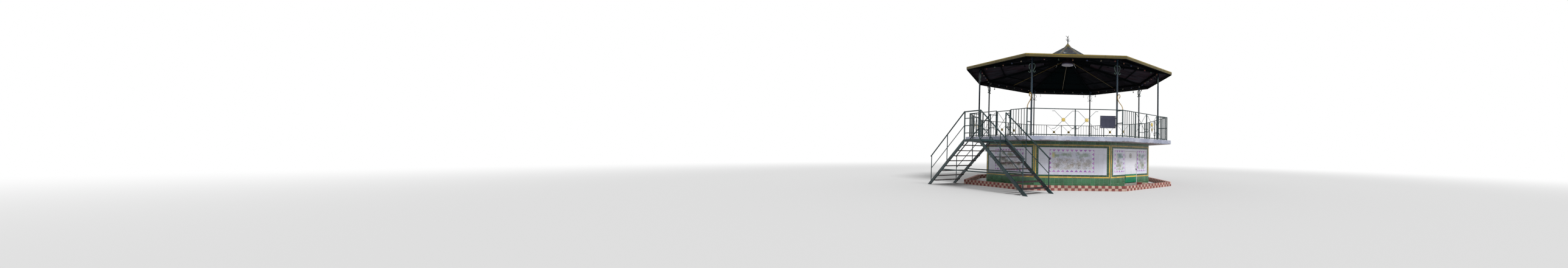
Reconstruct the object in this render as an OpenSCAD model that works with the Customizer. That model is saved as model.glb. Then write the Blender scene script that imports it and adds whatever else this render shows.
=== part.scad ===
// Eight-sided bandstand: a tiled podium with a door, a concrete deck on it,
// railings, eight tube posts under a broken-pitch sheet roof, and a double stair.
// The front podium face looks along -Y. Lengths are in millimetres, +Z is up.

/* [Plan] */
// Corner radius of the tiled podium
podium_r = 3500; // [3200:10:3700]
// Radius of the circle that the roof posts stand on
post_circle_r = 3850; // [3750:10:3950]
// How far the railing's corners stand outside the roof posts
rail_out = 350; // [300:5:400]
// How far the deck slab's corners reach past the railing's
slab_out = 155; // [120:5:300]
// How far the roof's corners reach past the railing's
eave_out = 180; // [100:10:500]
// How far the kerb's corners reach past the podium's
kerb_out = 870; // [700:10:880]

/* [Podium] */
// Height of the podium walls up to the slab
podium_h = 1650; // [1500:10:1800]
// Thickness of the podium walls
wall_t = 200; // [120:10:300]
// Height of the floor inside the podium
floor_h = 150; // [100:5:170]
// Height of the planting bed's kerb
kerb_h = 160; // [120:5:170]
// Thickness of the kerb
kerb_t = 120; // [80:5:160]
// Mortar joint between masonry pieces laid against each other
mortar_gap = 3; // [1:1:6]

/* [Podium door] */
// Width of the doorway in the wall
doorway_w = 860; // [760:10:1000]
// Height of the doorway's head above the ground
doorway_top = 1365; // [1300:5:1450]
// Width of the steel frame's profile
frame_w = 30; // [20:1:50]
// Depth of the steel frame
frame_d = 70; // [50:5:120]
// Thickness of the door leaf
leaf_t = 40; // [30:1:60]
// Gap around the door leaf
leaf_gap = 8; // [7:1:12]
// Gap under the door leaf
leaf_under_gap = 25; // [20:1:35]
// Width of the block edging that runs from the doorway out to the kerb
edging_w = 110; // [80:5:200]
// Height of the block edging
edging_h = 150; // [80:5:165]

/* [Deck] */
// Thickness of the deck slab
slab_t = 150; // [100:10:220]

/* [Posts] */
// Diameter of the roof posts
post_d = 60; // [50:1:80]
// Wall thickness of the posts
post_wall = 4; // [3:0.5:6]
// Clear height from the deck to the ring beam's underside
post_clear_h = 2720; // [2500:10:2900]
// Side of a post's base plate
base_plate_w = 160; // [120:5:200]
// Thickness of a post's base plate
base_plate_t = 12; // [8:1:20]

/* [Railing] */
// Height of the railing's top above the deck
rail_h = 930; // [900:5:1100]
// Diameter of the railing's corner posts and top rail
rail_post_d = 42; // [36:1:60]
// Diameter of the top rail
top_rail_d = 28; // [24:1:40]
// Side of the square posts inside a railing bay
mid_post_w = 32; // [25:1:45]
// Side of the railing's square bars
bar_w = 16; // [12:1:25]
// Number of bars between a panel post and the corner
bars_per_side = 5; // [3:1:8]
// Width of each crossed panel beside the middle post, between centres
panel_w = 785; // [650:5:900]
// Height of the bottom rail's underside above the deck
bottom_rail_gap = 30; // [20:5:120]
// Height of the bottom rail
bottom_rail_h = 30; // [20:1:50]
// Diameter of the rods that cross in a panel
cross_rod_d = 12; // [8:1:20]
// Length of a crossed panel's diagonal field, across and up
cross_field = 590; // [450:10:640]
// Height of the cross's centre above the deck
cross_centre_h = 550; // [500:5:580]
// Diameter of the disc at the middle of a cross
cross_disc_d = 105; // [80:5:140]
// Thickness of the disc
cross_disc_t = 22; // [14:1:30]
// Radius of the small C scrolls beside the middle post
c_scroll_r = 52; // [35:1:70]
// Height of the C scrolls' centres above the deck
c_scroll_h = 315; // [250:5:400]
// Width of the railing's frame profile around the gate
gate_frame_w = 26; // [20:1:36]
// Gap around the gate's leaf
gate_gap = 10; // [6:1:20]

/* [Scroll brackets] */
// Width of the flat bar that the scrolls are bent from
scroll_bar_w = 26; // [15:1:40]
// Thickness of that flat bar
scroll_bar_t = 10; // [6:1:14]
// Height of the lyre on a post's head
lyre_h = 300; // [220:5:360]
// Reach of the lyre beside the post's centre
lyre_reach = 114; // [90:1:150]
// Gap between the lyre's top and the ring beam
lyre_drop = 230; // [60:5:300]
// Height of the gold corner scroll above the railing
corner_scroll_h = 547; // [450:1:650]
// Radius of the corner scroll's curl
curl_r = 72; // [50:1:90]

/* [Roof] */
// Pitch of the outer roof in degrees
roof_pitch = 12; // [8:0.5:15]
// Pitch of the raised cap in degrees
cap_pitch = 34; // [28:1:40]
// Distance of the cap's lower edge from the axis, across flats
cap_flat = 1180; // [900:10:1500]
// Height of the cap's lower edge above the outer roof
cap_lift = 40; // [25:5:80]
// Thickness of the roof sheets
sheet_t = 6; // [4:1:10]
// Height of the fascia
fascia_h = 105; // [80:5:160]
// Thickness of the fascia
fascia_t = 12; // [8:1:20]
// Side of the square tube along the roof's edge
eave_tube = 40; // [30:5:60]
// How far the sheets lie below the fascia's upper edge, at the roof's edge
fascia_lap = 25; // [10:1:40]
// How far the edge tube shows under the fascia
eave_drop = 22; // [10:1:30]
// Height of the ring beams between the posts
ring_beam_h = 80; // [50:5:100]
// Width of the ring beams
ring_beam_w = 40; // [30:5:60]
// Width of a hip rafter
rafter_w = 40; // [30:5:60]
// Depth of a hip rafter
rafter_h = 80; // [60:5:100]
// Width of a purlin
purlin_w = 40; // [30:5:60]
// Depth of a purlin
purlin_h = 30; // [25:5:50]
// Distances of the purlins from the axis, across flats
purlin_rings = [1490, 2830];
// Width of a hip flashing's wing
flashing_w = 45; // [30:5:80]
// Thickness of the hip flashing
flashing_t = 4; // [3:1:8]
// Diameter of the central drum
drum_d = 460; // [360:10:560]
// Height of the central drum
drum_h = 250; // [180:10:320]
// Diameter of the lamp's disc
lamp_d = 520; // [420:10:600]
// Thickness of the lamp's disc
lamp_t = 45; // [30:5:80]
// Height of the lamp above the eave's lower edge
lamp_lift = 655; // [500:5:750]
// Diameter of the conduits under the roof
conduit_d = 22; // [16:1:30]
// Height of the finial above its cap
finial_h = 390; // [300:10:600]
// Diameter of the finial's stem
finial_d = 44; // [30:1:60]

/* [Light bulbs] */
// Number of bulbs under each ring beam
bulbs_per_side = 6; // [4:1:6]
// How far a row of bulbs is shifted to the right, seen from outside
bulbs_shift = 170; // [0:10:170]
// Diameter of a bulb
bulb_d = 52; // [40:1:70]
// Diameter of a bulb's socket
socket_d = 28; // [20:1:34]
// Length of a bulb's socket
socket_h = 45; // [30:1:60]

/* [Stair] */
// How far the landing's floor lies below the slab's underside
landing_drop = 0; // [0:10:150]
// Gap between the slab's edge and the stair's inner side
stair_off = 55; // [40:5:120]
// Width of the stair between the stringers' centres
stair_w = 1075; // [900:5:1300]
// Start of the landing along its face
landing_from = -110; // [-300:10:100]
// Length of the landing along its face
landing_len = 900; // [800:10:1100]
// Number of risers in a flight
risers = 9; // [7:1:11]
// Horizontal length of a flight
flight_run = 2250; // [2000:10:2600]
// Depth of the stringer's channel
stringer_h = 105; // [90:5:160]
// Depth of the landing's edge channels
landing_beam_h = 85; // [70:5:140]
// Thickness of the stringer
stringer_t = 36; // [20:1:50]
// Depth of a tread
tread_d = 250; // [200:5:290]
// Thickness of a tread
tread_t = 30; // [20:1:45]
// Diameter of the stair's handrails
handrail_d = 42; // [34:1:50]
// Diameter of the stair's lower rails
mid_rail_d = 30; // [20:1:36]
// Height of the stair's handrail
handrail_h = 950; // [850:10:1100]
// Distance of a flight's last post from the flight's foot
newel_inset = 205; // [100:5:400]
// Height of the ties between the flights' feet
tie_z = 570; // [300:10:700]

/* [Notice board] */
// Width of the board beside the front right post
board_w = 535; // [400:5:600]
// Height of the board
board_h = 425; // [300:5:500]
// Thickness of the board
board_t = 20; // [10:1:30]
// Height of the board's lower edge above the deck
board_z = 318; // [200:1:450]
// Gap between the board and the post
board_gap = 12; // [5:1:30]

/* [Hidden] */
$fn = 32;

sides = 8;
turn = 360 / sides;
half_turn = turn / 2;

// Distance across flats and half length of a side, from a corner radius
function flat(r) = r * cos(half_turn);
function half_side(r) = r * sin(half_turn);

// Sides are counted from the front, to the right as seen from outside
FRONT = 0;
RIGHT_FRONT = 1;
RIGHT = 2;
REAR_RIGHT = 3;
REAR = 4;
REAR_LEFT = 5;
LEFT = 6;
LEFT_FRONT = 7;

// Hair gap that keeps pieces that rest on each other from overlapping by rounding
seat_gap = 0.2;

rail_r = post_circle_r + rail_out;
slab_r = rail_r + slab_out;
eave_r = rail_r + eave_out;
kerb_r = podium_r + kerb_out;
deck_z = podium_h + slab_t;
landing_z = podium_h - landing_drop;
paint = [0.09, 0.17, 0.15];
gold = [0.83, 0.62, 0.2];
tile_white = [0.9, 0.9, 0.88];

// Turns a piece drawn on the front side to another side: x runs along it, -y is outward
module on_side(j) rotate([0, 0, turn * j]) children();

// Turns a piece drawn at the front to the corner that ends a side on its right
module on_corner(j) rotate([0, 0, turn * (j + 0.5)]) children();

// Plate between two distances from the axis on one side, with mitred ends held back by a gap
module side_ring_piece(out_flat, in_flat, z, h, gap) {
    function end(d) = d * tan(half_turn) - gap / 2 / cos(half_turn);
    translate([0, 0, z]) linear_extrude(h)
        polygon([[-end(out_flat), -out_flat], [end(out_flat), -out_flat],
                 [end(in_flat), -in_flat], [-end(in_flat), -in_flat]]);
}

module octagon(r) rotate([0, 0, half_turn]) circle(r = r, $fn = sides);

// Points on a circle, and on a curve drawn by four handles
function arc(centre, r, from, to, n) = [for (i = [0:n]) let (a = from + (to - from) * i / n)
    centre + r * [cos(a), sin(a)]];
function bend(p, n) = [for (i = [0:n]) let (u = i / n, v = 1 - u)
    v * v * v * p[0] + 3 * u * v * v * p[1] + 3 * u * u * v * p[2] + u * u * u * p[3]];

// Strip of constant thickness along a row of points
function across(p, i) = let (d = p[min(i + 1, len(p) - 1)] - p[max(i - 1, 0)]) [-d[1], d[0]] / norm(d);
module ribbon(p, t) polygon(concat([for (i = [0:len(p) - 1]) p[i] + across(p, i) * t / 2],
                                   [for (i = [len(p) - 1:-1:0]) p[i] - across(p, i) * t / 2]));

// Round bar between two points
module bar_between(p, q, d) let (v = q - p) translate(p)
    rotate([0, acos(v[2] / norm(v)), atan2(v[1], v[0])]) cylinder(d = d, h = norm(v));

// Podium: floor, walls, doorway, edging and kerb

podium_flat = flat(podium_r);
podium_in = podium_flat - wall_t;
kerb_flat = flat(kerb_r);
door_half = doorway_w / 2;

module podium_floor() {
    color([0.62, 0.6, 0.56]) {
        linear_extrude(floor_h) octagon((podium_in - seat_gap) / cos(half_turn));
        on_side(RIGHT_FRONT) translate([-door_half + seat_gap, -podium_flat, 0])
            cube([doorway_w - 2 * seat_gap, wall_t + 1, floor_h]);
    }
}

// The seven sides without a door
module podium_walls() {
    color(tile_white) for (j = [0:sides - 1]) if (j != RIGHT_FRONT)
        on_side(j) side_ring_piece(podium_flat, podium_in, 0, podium_h - seat_gap, 2 * seat_gap);
}

// Part of the door side's wall from one place along it to another, up to the slab
module door_side_wall(from, to, z) {
    h = podium_h - seat_gap - z;
    color(tile_white) on_side(RIGHT_FRONT) intersection() {
        side_ring_piece(podium_flat, podium_in, z, h, 2 * seat_gap);
        translate([from, -podium_flat - 1, z - 1]) cube([to - from, wall_t + 2, h + 2]);
    }
}

module wall_beside_door_left() door_side_wall(-half_side(podium_r), -door_half, 0);
module wall_beside_door_right() door_side_wall(door_half, half_side(podium_r), 0);
module wall_over_door() door_side_wall(-door_half + seat_gap, door_half - seat_gap, doorway_top);

leaf_w = doorway_w - 2 * frame_w - 2 * leaf_gap;
leaf_z = floor_h + leaf_under_gap;
leaf_h = doorway_top - frame_w - leaf_gap - leaf_z;
knuckle_r = 11;
knuckle_h = 50;
pin_r = 5;
pin_play = 0.25;
hinge_gap = 1;
hinge_stand = 12;
door_axis_x = -leaf_w / 2 - leaf_gap / 2;
door_axis_y = -podium_flat - hinge_stand;
door_hinge_zs = [leaf_z + 140, leaf_z + leaf_h - 240];

// Lower half of a hinge, with the pin that the upper half turns on
module fixed_knuckle() {
    cylinder(r = knuckle_r, h = knuckle_h);
    cylinder(r = pin_r, h = 2 * knuckle_h);
}

module moving_knuckle() {
    translate([0, 0, knuckle_h + hinge_gap]) difference() {
        cylinder(r = knuckle_r, h = knuckle_h);
        translate([0, 0, -1]) cylinder(r = pin_r + pin_play, h = knuckle_h);
    }
}

module door_frame() {
    color([0.75, 0.75, 0.72]) on_side(RIGHT_FRONT) {
        difference() {
            translate([-door_half + seat_gap, -podium_flat, floor_h + seat_gap])
                cube([doorway_w - 2 * seat_gap, frame_d, doorway_top - floor_h - 2 * seat_gap]);
            translate([-door_half + frame_w, -podium_flat - 1, floor_h - 1])
                cube([doorway_w - 2 * frame_w, frame_d + 2, doorway_top - floor_h - frame_w + 1]);
        }
        for (z = door_hinge_zs) {
            translate([door_axis_x, door_axis_y, z]) fixed_knuckle();
            translate([-door_half + 4, -podium_flat - 4, z])
                cube([door_axis_x - 2 + door_half - 4, 5, knuckle_h]);
        }
    }
}

module door_leaf() {
    color([0.93, 0.94, 0.93]) on_side(RIGHT_FRONT) {
        difference() {
            translate([-leaf_w / 2, -podium_flat, leaf_z]) cube([leaf_w, leaf_t, leaf_h]);
            // Pan of the sheet door, open towards the inside
            translate([-leaf_w / 2 + 35, -podium_flat + 4, leaf_z + 35])
                cube([leaf_w - 70, leaf_t, leaf_h - 70]);
        }
        for (z = door_hinge_zs) {
            translate([door_axis_x, door_axis_y, z]) moving_knuckle();
            translate([-leaf_w / 2 + 1, -podium_flat - 4, z + knuckle_h + hinge_gap])
                cube([60, 5, knuckle_h]);
            translate([door_axis_x + pin_r + 1, -podium_flat - 8, z + knuckle_h + hinge_gap])
                cube([leaf_gap, 6, knuckle_h]);
        }
        // Hasp and padlock at the free edge
        translate([leaf_w / 2 - 70, -podium_flat - 5, leaf_z + leaf_h * 0.42]) cube([60, 6, 34]);
        translate([leaf_w / 2 - 46, -podium_flat - 24, leaf_z + leaf_h * 0.42 - 34]) cube([34, 20, 40]);
    }
}

// Row of blocks from the doorway's right side out to the kerb
module block_edging() {
    color([0.7, 0.4, 0.34]) on_side(RIGHT_FRONT)
        translate([door_half, -kerb_flat + kerb_t + mortar_gap, 0])
            cube([edging_w, kerb_flat - kerb_t - podium_flat - 2 * mortar_gap, edging_h]);
}

module deck_slab() {
    color([0.85, 0.86, 0.87]) translate([0, 0, podium_h]) linear_extrude(slab_t) octagon(slab_r);
}

module planter_kerb() {
    color([0.83, 0.66, 0.56]) for (j = [0:sides - 1]) on_side(j)
        side_ring_piece(kerb_flat, kerb_flat - kerb_t, 0, kerb_h, mortar_gap);
}

// Railing

rail_flat = flat(rail_r);
rail_half = half_side(rail_r);
top_rail_z = deck_z + rail_h - top_rail_d / 2;
cross_z = deck_z + cross_centre_h;

corner_foot_w = 30;
corner_foot_t = 8;

module corner_post() translate([0, 0, deck_z]) {
    cylinder(d = rail_post_d, h = rail_h);
    cylinder(d = rail_post_d + 2 * corner_foot_w, h = corner_foot_t);
}

// Room for a round post in whatever meets it
module post_cut(d) cylinder(d = d + 2 * seat_gap, h = 3 * deck_z);

// Upright square bar from the bottom rail to the top rail
module rail_bar(x, w) translate([x - w / 2, -w / 2, deck_z + bottom_rail_gap + 1])
    cube([w, w, rail_h - top_rail_d / 2 - bottom_rail_gap - 1]);

module post_in_bay(x) {
    translate([x - mid_post_w / 2, -mid_post_w / 2, deck_z])
        cube([mid_post_w, mid_post_w, rail_h - top_rail_d / 2]);
}

// Two rods that cross behind a disc, tied to the uprights of their panel
module cross_panel(x, w, disc) translate([x, 0, cross_z]) {
    reach = cross_field / 2;
    for (s = [-1, 1]) {
        rotate([0, 45 * s, 0]) cylinder(d = cross_rod_d, h = 2 * reach * sqrt(2), center = true);
        for (e = [-1, 1]) translate([s * (reach + (w / 2 - reach) / 2), 0, e * reach])
            cube([w / 2 - reach + cross_rod_d, cross_rod_d, cross_rod_d], center = true);
    }
    if (disc) rotate([90, 0, 0]) cylinder(d = cross_disc_d, h = cross_disc_t, center = true);
}

// Pair of C scrolls, back to back on the middle post
module c_scrolls() for (s = [0, 1]) mirror([s, 0, 0])
    translate([mid_post_w / 2 + c_scroll_r + scroll_bar_t / 2 - 1, scroll_bar_w / 2 - 4, deck_z + c_scroll_h])
        rotate([90, 0, 0]) linear_extrude(scroll_bar_w - 8)
            ribbon(arc([0, 0], c_scroll_r, 50, 310, 16), scroll_bar_t);

// One railing bay between two corner posts, with or without its bars
module rail_bay(bars, disc_left, disc_right) {
    end = rail_half;
    translate([-end, 0, top_rail_z]) rotate([0, 90, 0]) cylinder(d = top_rail_d, h = 2 * end);
    translate([-end, -bottom_rail_h / 2, deck_z + bottom_rail_gap])
        cube([2 * end, bottom_rail_h, bottom_rail_h]);
    post_in_bay(0);
    c_scrolls();
    for (s = [-1, 1]) {
        if (bars) {
            post_in_bay(s * panel_w);
            pitch = (rail_half - panel_w) / (bars_per_side + 1);
            for (i = [1:bars_per_side]) rail_bar(s * (panel_w + i * pitch), bar_w);
        }
        cross_panel(s * panel_w / 2, panel_w - mid_post_w, s < 0 ? disc_left : disc_right);
    }
}

// The bay of a side, with the corner post that ends it on the right
module railing(j, bars, disc_left = true, disc_right = true) {
    color(paint) {
        on_side(j) translate([0, -rail_flat, 0]) difference() {
            rail_bay(bars, disc_left, disc_right);
            translate([-rail_half, 0, 0]) post_cut(rail_post_d);
        }
        on_corner(j) translate([0, -rail_r, 0]) corner_post();
    }
}

// Side with the gate: the right crossed panel is the gate's leaf
module railing_left_front() {
    end = rail_half;
    pitch = (rail_half - panel_w) / (bars_per_side + 1);
    color(paint) {
        on_side(LEFT_FRONT) translate([0, -rail_flat, 0]) {
            difference() {
                union() {
                    translate([-end, 0, top_rail_z]) rotate([0, 90, 0])
                        cylinder(d = top_rail_d, h = end + mid_post_w / 2);
                    translate([-end, -bottom_rail_h / 2, deck_z + bottom_rail_gap])
                        cube([end, bottom_rail_h, bottom_rail_h]);
                    post_in_bay(0);
                    post_in_bay(-panel_w);
                    for (i = [1:bars_per_side]) rail_bar(-panel_w - i * pitch, bar_w);
                    cross_panel(-panel_w / 2, panel_w - mid_post_w, false);
                    for (z = gate_hinge_zs) translate([gate_axis_x, 0, z]) fixed_knuckle();
                    for (z = gate_hinge_zs) translate([mid_post_w / 2 - 1, -3, z])
                        cube([gate_axis_x - mid_post_w / 2, 6, knuckle_h]);
                }
                translate([-rail_half, 0, 0]) post_cut(rail_post_d);
            }
            translate([panel_w - mid_post_w / 2, 0, top_rail_z]) rotate([0, 90, 0])
                cylinder(d = top_rail_d, h = end - panel_w + mid_post_w / 2);
            translate([panel_w, -bottom_rail_h / 2, deck_z + bottom_rail_gap])
                cube([end - panel_w, bottom_rail_h, bottom_rail_h]);
            post_in_bay(panel_w);
            for (i = [1:bars_per_side]) rail_bar(panel_w + i * pitch, bar_w);
        }
        on_corner(LEFT_FRONT) translate([0, -rail_r, 0]) corner_post();
    }
}

gate_axis_x = mid_post_w / 2 + knuckle_r + 8;
gate_left = gate_axis_x + knuckle_r + 3;
gate_right = panel_w - mid_post_w / 2 - gate_gap;
gate_hinge_zs = [deck_z + 120, deck_z + rail_h - 260];
gate_w = gate_right - gate_left;
latch_h = 620;

module gate_leaf() {
    frame = gate_frame_w;
    zb = deck_z + bottom_rail_gap;
    zt = deck_z + rail_h - top_rail_d;
    color(paint) on_side(LEFT_FRONT) translate([0, -rail_flat, 0]) {
        translate([gate_left, -frame / 2, zb]) difference() {
            cube([gate_w, frame, zt - zb]);
            translate([frame, -1, frame]) cube([gate_w - 2 * frame, frame + 2, zt - zb - 2 * frame]);
        }
        translate([(gate_left + gate_right) / 2, 0, cross_z]) {
            reach = cross_field / 2;
            for (s = [-1, 1]) {
                rotate([0, 45 * s, 0]) cylinder(d = cross_rod_d, h = 2 * reach * sqrt(2), center = true);
                for (e = [-1, 1]) translate([s * (reach + (gate_w / 2 - reach - frame) / 2), 0, e * reach])
                    cube([gate_w / 2 - reach - frame + cross_rod_d, cross_rod_d, cross_rod_d], center = true);
            }
        }
        for (z = gate_hinge_zs) {
            translate([gate_axis_x, 0, z]) moving_knuckle();
            translate([gate_axis_x + pin_r + 1, -3, z + knuckle_h + hinge_gap])
                cube([gate_left - gate_axis_x - pin_r, 6, knuckle_h]);
        }
        // Latch bolt's plate at the free edge
        translate([gate_right - 60, -frame / 2 - 8, deck_z + latch_h]) cube([55, 9, 40]);
    }
}

// Flat bars that tie each railing corner to its roof post
link_h = 30;
link_t = 8;
link_zs = [deck_z + rail_h - link_h - 4, deck_z + rail_h / 2];

module rail_links() {
    color(paint) for (k = [0:sides - 1], z = link_zs) on_corner(k) difference() {
        translate([-link_t / 2, -rail_r, z]) cube([link_t, rail_r - post_circle_r, link_h]);
        translate([0, -rail_r, 0]) post_cut(rail_post_d);
        translate([0, -post_circle_r, 0]) post_cut(post_d);
    }
}

// Roof

roof_edge_flat = flat(eave_r);
roof_slope = tan(roof_pitch);
ring_flat = flat(post_circle_r);
ring_beam_z = deck_z + post_clear_h;
beam_out = ring_flat + ring_beam_w / 2;
// The sheets rest on the ring beams' outer edges, which sets the height of the fascia's lower edge
eave_z = ring_beam_z + ring_beam_h + seat_gap
    - (roof_edge_flat - beam_out) * roof_slope - fascia_h + fascia_lap;
cap_slope = tan(cap_pitch);

// Height of the outer roof's sheet underside over a distance across flats
function roof_z(d) = eave_z + fascia_h - fascia_lap + (roof_edge_flat - d) * roof_slope;
function roof_over(d) = roof_z(d) + sheet_t / cos(roof_pitch) + seat_gap;
cap_z = roof_over(cap_flat) + cap_lift;
function cap_under(d) = cap_z + (cap_flat - d) * cap_slope;
apex_z = cap_under(0);

// Distance along a hip line's side at a distance from the axis, held back by half a gap
function hip_end(d, gap) = d * tan(half_turn) - gap / 2 / cos(half_turn);

// Turns what is drawn flat, x along the eave and y up the slope, into a sloping side's plane
module in_slope(out_d, pitch, z_out, below = 0)
    translate([0, -out_d, z_out]) rotate([pitch, 0, 0]) translate([0, 0, -below]) children();

// Sloping plate on one side between two distances from the axis
module sloped_piece(out_d, in_d, pitch, z_out, h, gap, below = 0) {
    run = (out_d - in_d) / cos(pitch);
    in_slope(out_d, pitch, z_out, below) linear_extrude(h)
        polygon([[-hip_end(out_d, gap), 0], [hip_end(out_d, gap), 0],
                 [hip_end(in_d, gap), run], [-hip_end(in_d, gap), run]]);
}

// Gap that keeps the tilted edges of two sides' sheets and flashings apart at a hip
function sheet_gap(pitch) = 2 * ((sheet_t + flashing_t) * sin(pitch) * sin(half_turn) + 1);
// The sheets stop just short of the fascia's inner face
sheet_edge = roof_edge_flat - fascia_t - 2;

module roof_sheets() {
    color([0.28, 0.33, 0.3]) for (j = [0:sides - 1]) on_side(j)
        sloped_piece(sheet_edge, cap_flat - 150, roof_pitch, roof_z(sheet_edge), sheet_t,
                     sheet_gap(roof_pitch));
}

cap_top_flat = 40;

module cap_sheets() {
    color([0.33, 0.36, 0.33]) for (j = [0:sides - 1]) on_side(j)
        sloped_piece(cap_flat, cap_top_flat, cap_pitch, cap_z, sheet_t, sheet_gap(cap_pitch));
}

// Upright strip that closes the step between the outer roof and the cap
upstand_flat = cap_flat - 60;

module cap_upstand() {
    top = [for (d = [upstand_flat, upstand_flat - sheet_t]) [-d, cap_under(d) - seat_gap]];
    low = [for (d = [upstand_flat - sheet_t, upstand_flat]) [-d, roof_over(d)]];
    color([0.33, 0.36, 0.33]) for (j = [0:sides - 1]) on_side(j) intersection() {
        rotate([90, 0, 90]) linear_extrude(2 * cap_flat, center = true) polygon(concat(top, low));
        side_ring_piece(upstand_flat + 1, upstand_flat - sheet_t - 1, 0, 2 * apex_z, 2);
    }
}

// Folded wings along both edges of a sloping side
module hip_wings(out_d, in_d, pitch, z_out) {
    run = (out_d - in_d) / cos(pitch);
    gap = sheet_gap(pitch);
    wing = flashing_w / cos(half_turn);
    for (m = [0, 1]) mirror([m, 0, 0]) in_slope(out_d, pitch, z_out) linear_extrude(flashing_t)
        polygon([[hip_end(out_d, gap), 0], [hip_end(in_d, gap), run],
                 [hip_end(in_d, gap) - wing, run], [hip_end(out_d, gap) - wing, 0]]);
}

module hip_flashings() {
    color(gold) for (j = [0:sides - 1]) on_side(j) {
        hip_wings(cap_flat, cone_flat + 2, cap_pitch, cap_over(cap_flat));
        hip_wings(sheet_edge, cap_flat + 10, roof_pitch, roof_over(sheet_edge));
    }
}

module fascia() {
    color(gold) for (j = [0:sides - 1]) on_side(j)
        side_ring_piece(roof_edge_flat, roof_edge_flat - fascia_t, eave_z, fascia_h, 0.5);
}

module eave_frame() {
    color([0.07, 0.09, 0.09]) for (j = [0:sides - 1]) on_side(j)
        side_ring_piece(roof_edge_flat - fascia_t, roof_edge_flat - fascia_t - eave_tube,
                        eave_z - eave_drop, eave_tube, 0.5);
}

// Hip rafters: their tops carry the sheets' edges along each hip
hip_slope = roof_slope * cos(half_turn);
hip_pitch = atan(hip_slope);
edge_fall = roof_slope * rafter_w / 2 * sin(half_turn);
rafter_out = (roof_edge_flat - fascia_t - eave_tube) / cos(half_turn);
function hip_z(r) = roof_z(flat(r)) - edge_fall - seat_gap;

// Length of bar along a hip, from the corner inwards; turned so that its top follows the hip
module hip_bar(r_out, r_in, w, h) {
    run = (r_out - r_in) / cos(hip_pitch);
    translate([0, -r_out, hip_z(r_out)]) rotate([hip_pitch, 0, 0])
        translate([-w / 2, 0, -h]) cube([w, run, h]);
}

module hip_rafters() {
    color([0.07, 0.09, 0.09]) for (k = [0:sides - 1]) on_corner(k) difference() {
        intersection() {
            hip_bar(rafter_out + 60, drum_d / 2 - 60, rafter_w, rafter_h);
            rotate([0, 0, half_turn]) linear_extrude(2 * apex_z) octagon(rafter_out);
        }
        cylinder(d = drum_d, h = 2 * apex_z);
    }
}

// Room for the hip rafters at both ends of a side
module rafter_room() for (s = [-1, 1]) rotate([0, 0, s * half_turn])
    translate([-rafter_w / 2 - seat_gap, -roof_edge_flat, 0])
        cube([rafter_w + 2 * seat_gap, roof_edge_flat, 2 * apex_z]);

post_top_z = roof_z(ring_flat);

module roof_posts() {
    color(paint) for (k = [0:sides - 1]) on_corner(k) translate([0, -post_circle_r, 0]) {
        difference() {
            translate([0, 0, deck_z + base_plate_t]) cylinder(d = post_d, h = post_top_z - deck_z);
            translate([0, 0, deck_z + base_plate_t + 1]) cylinder(d = post_d - 2 * post_wall, h = post_top_z);
            // Seat cut to the hip rafter's underside
            translate([0, post_circle_r, 0]) post_seat();
        }
        translate([-base_plate_w / 2, -base_plate_w / 2, deck_z])
            cube([base_plate_w, base_plate_w, base_plate_t]);
    }
}

module post_seat() translate([0, -rafter_out, hip_z(rafter_out)]) rotate([hip_pitch, 0, 0])
    translate([-post_d, 0, -rafter_h]) cube([2 * post_d, 2 * rafter_out, 4 * rafter_h]);

ring_half = half_side(post_circle_r);

// Beams from post to post, right under the sheets
module ring_beams() {
    color(paint) for (j = [0:sides - 1]) on_side(j) difference() {
        translate([-ring_half, -beam_out, ring_beam_z]) cube([2 * ring_half, ring_beam_w, ring_beam_h]);
        for (s = [-1, 1]) translate([s * ring_half, -ring_flat, 0]) post_cut(post_d);
        rafter_room();
    }
}

module purlins() {
    color([0.07, 0.09, 0.09]) for (j = [0:sides - 1], d = purlin_rings) on_side(j) difference() {
        sloped_piece(d, d - purlin_w, roof_pitch, roof_z(d) - seat_gap, purlin_h, 0, purlin_h);
        rafter_room();
    }
}

lamp_z = eave_z + lamp_lift;
drum_z = lamp_z + lamp_t;
drum_wall = 8;
mast_d = 60;

// Open-bottomed drum, with a mast from it up to under the cap's peak
module roof_drum() {
    color([0.16, 0.13, 0.13]) translate([0, 0, drum_z]) {
        difference() {
            cylinder(d = drum_d, h = drum_h);
            translate([0, 0, -drum_wall]) cylinder(d = drum_d - 2 * drum_wall, h = drum_h);
        }
        translate([0, 0, drum_h - 1]) cylinder(d = mast_d, h = apex_z - drum_z - drum_h - 20);
    }
}

module lamp() {
    color([0.86, 0.86, 0.93]) translate([0, 0, lamp_z]) cylinder(d = lamp_d, h = lamp_t);
}

// Yellow conduits under the purlins on the three rear sides, from the ring beams up to the drum
module conduits() {
    d_out = beam_out - ring_beam_w - seat_gap + purlin_h * sin(roof_pitch);
    run = d_out / cos(roof_pitch);
    color([0.6, 0.5, 0.15]) for (j = [REAR_RIGHT:REAR_LEFT]) on_side(j) difference() {
        translate([0, -d_out, roof_z(d_out)]) rotate([roof_pitch, 0, 0])
            translate([0, 0, -purlin_h - conduit_d / 2 - 2 * seat_gap]) rotate([-90, 0, 0])
                cylinder(d = conduit_d, h = run);
        cylinder(d = drum_d, h = 2 * apex_z);
    }
}

// Gold cap over the meeting point of the cap's sheets
cone_flat = 150;
cone_h = 50;
cone_lift = 0.5;
function cap_over(d) = cap_under(d) + sheet_t / cos(cap_pitch) + seat_gap;

module apex_cap() {
    base_z = cap_over(cone_flat);
    skirt_z = cap_over(cone_flat + 20);
    color(gold) rotate([0, 0, half_turn]) difference() {
        translate([0, 0, base_z + cone_lift])
            cylinder(r1 = cone_flat / cos(half_turn), r2 = finial_d, h = cap_over(0) - base_z + cone_h,
                     $fn = sides);
        translate([0, 0, skirt_z + cone_lift])
            cylinder(r1 = (cone_flat + 20) / cos(half_turn), r2 = 0, h = cap_over(0) - skirt_z, $fn = sides);
    }
}

// Wrought finial: a stem with rising arms, each [direction, start height as a share, length, lean]
finial_arms = [[180, 0.78, 125, 52], [0, 0.74, 105, 20], [180, 0.32, 135, 42], [0, 0.42, 100, 32],
    [-35, 0.3, 150, 62]];

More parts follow.
